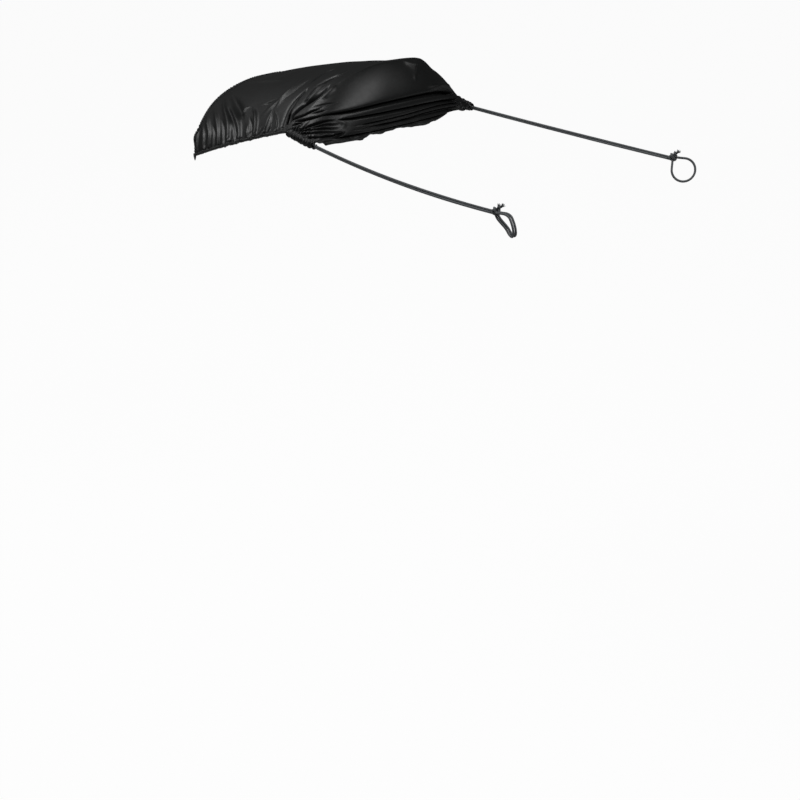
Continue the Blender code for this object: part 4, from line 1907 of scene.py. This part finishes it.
# Long folds of the pushed-back sail, which fan out of the near gather and run to the far one.
SAIL_FOLDS = fold_table(
    (-8, 1.8, 2.2, 0.1, 0.6, 0.4,
     ((0.911, -0.891), (0.957, -0.87), (1.06, -0.816), (1.176, -0.741), (1.264, -0.659))),
    (-1.8, 1.8, 2.2, 0.5, 0.5, 0, ((0.978, -0.777), (1.143, -0.704), (1.264, -0.62), (1.343, -0.536))),
    (-2.6, 1.4, 1.6, 0.5, 0.5, 0, ((1.114, -0.813), (1.266, -0.734), (1.359, -0.652))),
    (-8, 1.8, 2, 0.15, 0.5, 0.4, ((0.947, -0.917), (1.131, -0.873), (1.301, -0.794), (1.379, -0.713))),
    (-4.6, 1.6, 1.8, 0.2, 0.4, 0, ((0.968, -0.966), (1.008, -0.938), (1.165, -0.895))),
    (-7, 1.7, 2, 0.2, 0.5, 0.4,
     ((1.231, -0.968), (1.379, -0.889), (1.468, -0.807), (1.53, -0.723), (1.597, -0.641))),
    (-4, 1.5, 1.8, 0.3, 0.4, 0, ((1.419, -0.92), (1.532, -0.828), (1.616, -0.736), (1.681, -0.639))),
    (-4.8, 1.6, 1.9, 0.15, 0.4, 0, ((1.191, -0.995), (1.504, -0.896), (1.676, -0.784), (1.76, -0.649))),
    (-4.4, 1.6, 1.8, 0.15, 0.4, 0, ((1.299, -1.011), (1.62, -0.918), (1.764, -0.797), (1.818, -0.653))),
    (-11, 2.2, 3, 0.15, 0.2, 1.8, ((1.535, -1.027), (1.78, -0.924), (1.845, -0.783), (1.861, -0.631))),
    (-3.8, 1.6, 1.8, 0.3, 0.4, 0, ((1.781, -1.05), (1.975, -0.94), (1.987, -0.769))),
    (-15, 2.4, 4.2, 0.2, 0.05, 3.4,
     ((1.323, -0.808), (1.505, -0.514), (1.554, -0.168), (1.545, 0.24), (1.465, 0.828))),
    (-13, 2, 3.2, 0.16, 0.05, 2.4,
     ((1.579, -0.672), (1.638, -0.487), (1.67, -0.275), (1.684, -0.048),
      (1.684, 0.2), (1.671, 0.49), (1.642, 0.863))),
    (-7.5, 1.8, 1.9, 0.25, 0.05, 1.4,
     ((1.774, -0.542), (1.78, -0.314), (1.784, -0.062), (1.771, 0.205), (1.747, 0.506), (1.749, 0.886))),
    (-7, 1.8, 1.9, 0.25, 0.05, 1.4,
     ((1.829, -0.491), (1.836, -0.259), (1.838, -0.009), (1.827, 0.258), (1.82, 0.554), (1.86, 0.903))),
    (-7.5, 1.8, 1.9, 0.2, 0.05, 1.4,
     ((1.861, -0.318), (1.854, -0.104), (1.86, 0.122), (1.864, 0.366), (1.879, 0.633), (1.943, 0.919))),
    (-11, 2.3, 2.6, 0.12, 0.05, 2.4,
     ((1.921, -0.832), (1.932, -0.573), (1.931, -0.306), (1.932, -0.024),
      (1.942, 0.279), (1.968, 0.601), (2.013, 0.934))),
    (7, 4, 4, 0.4, 0.3, 0, ((1.462, 0.344), (1.424, 0.472), (1.371, 0.632), (1.37, 0.802))),
    (1.8, 4, 5, 0.3, 0.4, 0,
     ((0.972, 0.188), (1.053, 0.215), (1.106, 0.272), (1.125, 0.354), (1.099, 0.462))),
    (1, 3.6, 4, 0.4, 0.4, 0, ((1.213, 0.272), (1.294, 0.236), (1.369, 0.224))),
    (1.2, 4, 4.6, 0.4, 0.4, 0, ((1.559, -0.694), (1.605, -0.641), (1.687, -0.607), (1.781, -0.655))),
    (-4, 1.7, 2, 0.3, 0.2, 1, ((1.84, -0.582), (1.861, -0.308), (1.867, -0.011), (1.875, 0.311))),
    (-4, 1.6, 2, 0.3, 0.2, 1, ((2, -0.586), (2, -0.292), (2, 0.015), (2, 0.331))),
)

# Softer folds at the far gather, behind the rim.
FAR_FOLDS = fold_table(
    (-7.0, 3.2, 3.6, 0.06, 0.6, 1.2, ((0.9, 0.985), (0.862, 0.88), (0.84, 0.76), (0.82, 0.62))),
    (-5.0, 2.8, 3.4, 0.06, 0.6, 0.8, ((0.83, 0.985), (0.79, 0.89), (0.76, 0.78), (0.75, 0.66))),
    (-5.0, 2.4, 3.2, 0.06, 0.6, 0.8, ((0.95, 0.985), (0.925, 0.91), (0.915, 0.82), (0.91, 0.72))),
    (-5.0, 6.5, 9.0, 0.35, 0.55, 0, ((0.44, 0.8), (0.35, 0.69), (0.24, 0.57), (0.1, 0.44))),
)

# Short waves along the sail's free edge.
HEM_FOLDS = fold_table(
    (-1.9, 2.6, 3.0, 0.3, 0.4, 0, ((1.949, -0.4), (1.986, -0.348), (2.002, -0.295))),
    (-1.9, 2.6, 3.0, 0.3, 0.4, 0, ((1.956, -0.075), (1.997, 0.006), (2.016, 0.086))),
    (-1.6, 2.6, 3.0, 0.3, 0.4, 0, ((1.968, -0.642), (1.997, -0.576), (1.912, -0.501))),
    (-1.6, 2.6, 3.0, 0.3, 0.4, 0, ((1.936, 0.143), (1.996, 0.24), (2.013, 0.335))),
    (1.5, 3.0, 3.4, 0.3, 0.4, 0, ((1.961, -0.274), (2, -0.21), (1.994, -0.154))),
    (1.4, 3.0, 3.4, 0.3, 0.4, 0, ((1.969, -0.537), (1.999, -0.484), (1.997, -0.433))),
    (-1.5, 2.4, 2.8, 0.3, 0.4, 0, ((1.963, 0.366), (2.001, 0.433), (1.963, 0.468))),
)

# The sharper bend of the cloth over the rim's far corner.
CROWN_FOLDS = fold_table(
    (8.5, 22.0, 11.0, 0.6, 0.45, 0, ((0.9, 0.1), (0.98, 0.26), (1.02, 0.42), (1.04, 0.58))),
)

# All placed folds, in the order in which their heights are added up.
FOLDS = (
    SIDE_RIDGES
    + NEAR_BUMPS
    + SIDE_HOLLOWS
    + RIM_FOLDS
    + SAIL_FOLDS
    + FAR_FOLDS
    + HEM_FOLDS
    + CROWN_FOLDS
)


def main() -> None:
    """Build every part of the shade and of the studio, in order."""
    logging.basicConfig(level=logging.INFO, format="%(message)s")
    Studio().build()
    LOG.info("studio")
    elastic = BraidedElastic().material()
    cloth = WovenPolyester().material()
    binding = TurnedHem().material()
    loops = {
        Side.NEAR: HandleLoop(Side.NEAR, elastic, turn=24.0, knot_angle=34.0, slant=0.010),
        Side.FAR: HandleLoop(Side.FAR, elastic, turn=46.0, knot_angle=28.0, slant=0.002),
    }
    for side in Side:
        knot = Knot(side, elastic)
        ends = {strand: knot.build_end(strand) for strand in Strand}
        tied = knot.build()
        carried = {Strand.UPPER: [tied, ends[Strand.UPPER]], Strand.LOWER: [ends[Strand.LOWER]]}
        DoubledCord(side, elastic).build(carried)
        loops[side].build(knot.middle)
        LOG.info("%s cord, knot and loop", side.word)
    shade = ShadeCloth(FOLDS)
    shade.shape()
    sheet = shade.build(cloth)
    LOG.info("shade cloth: %d faces", len(sheet.data.polygons))
    CoverHems(shade, binding).build()
    LOG.info("cover hems, tails and sewn corners")
    FrontHem(shade, binding).build()
    LOG.info("front hem")


if __name__ == "__main__":
    main()
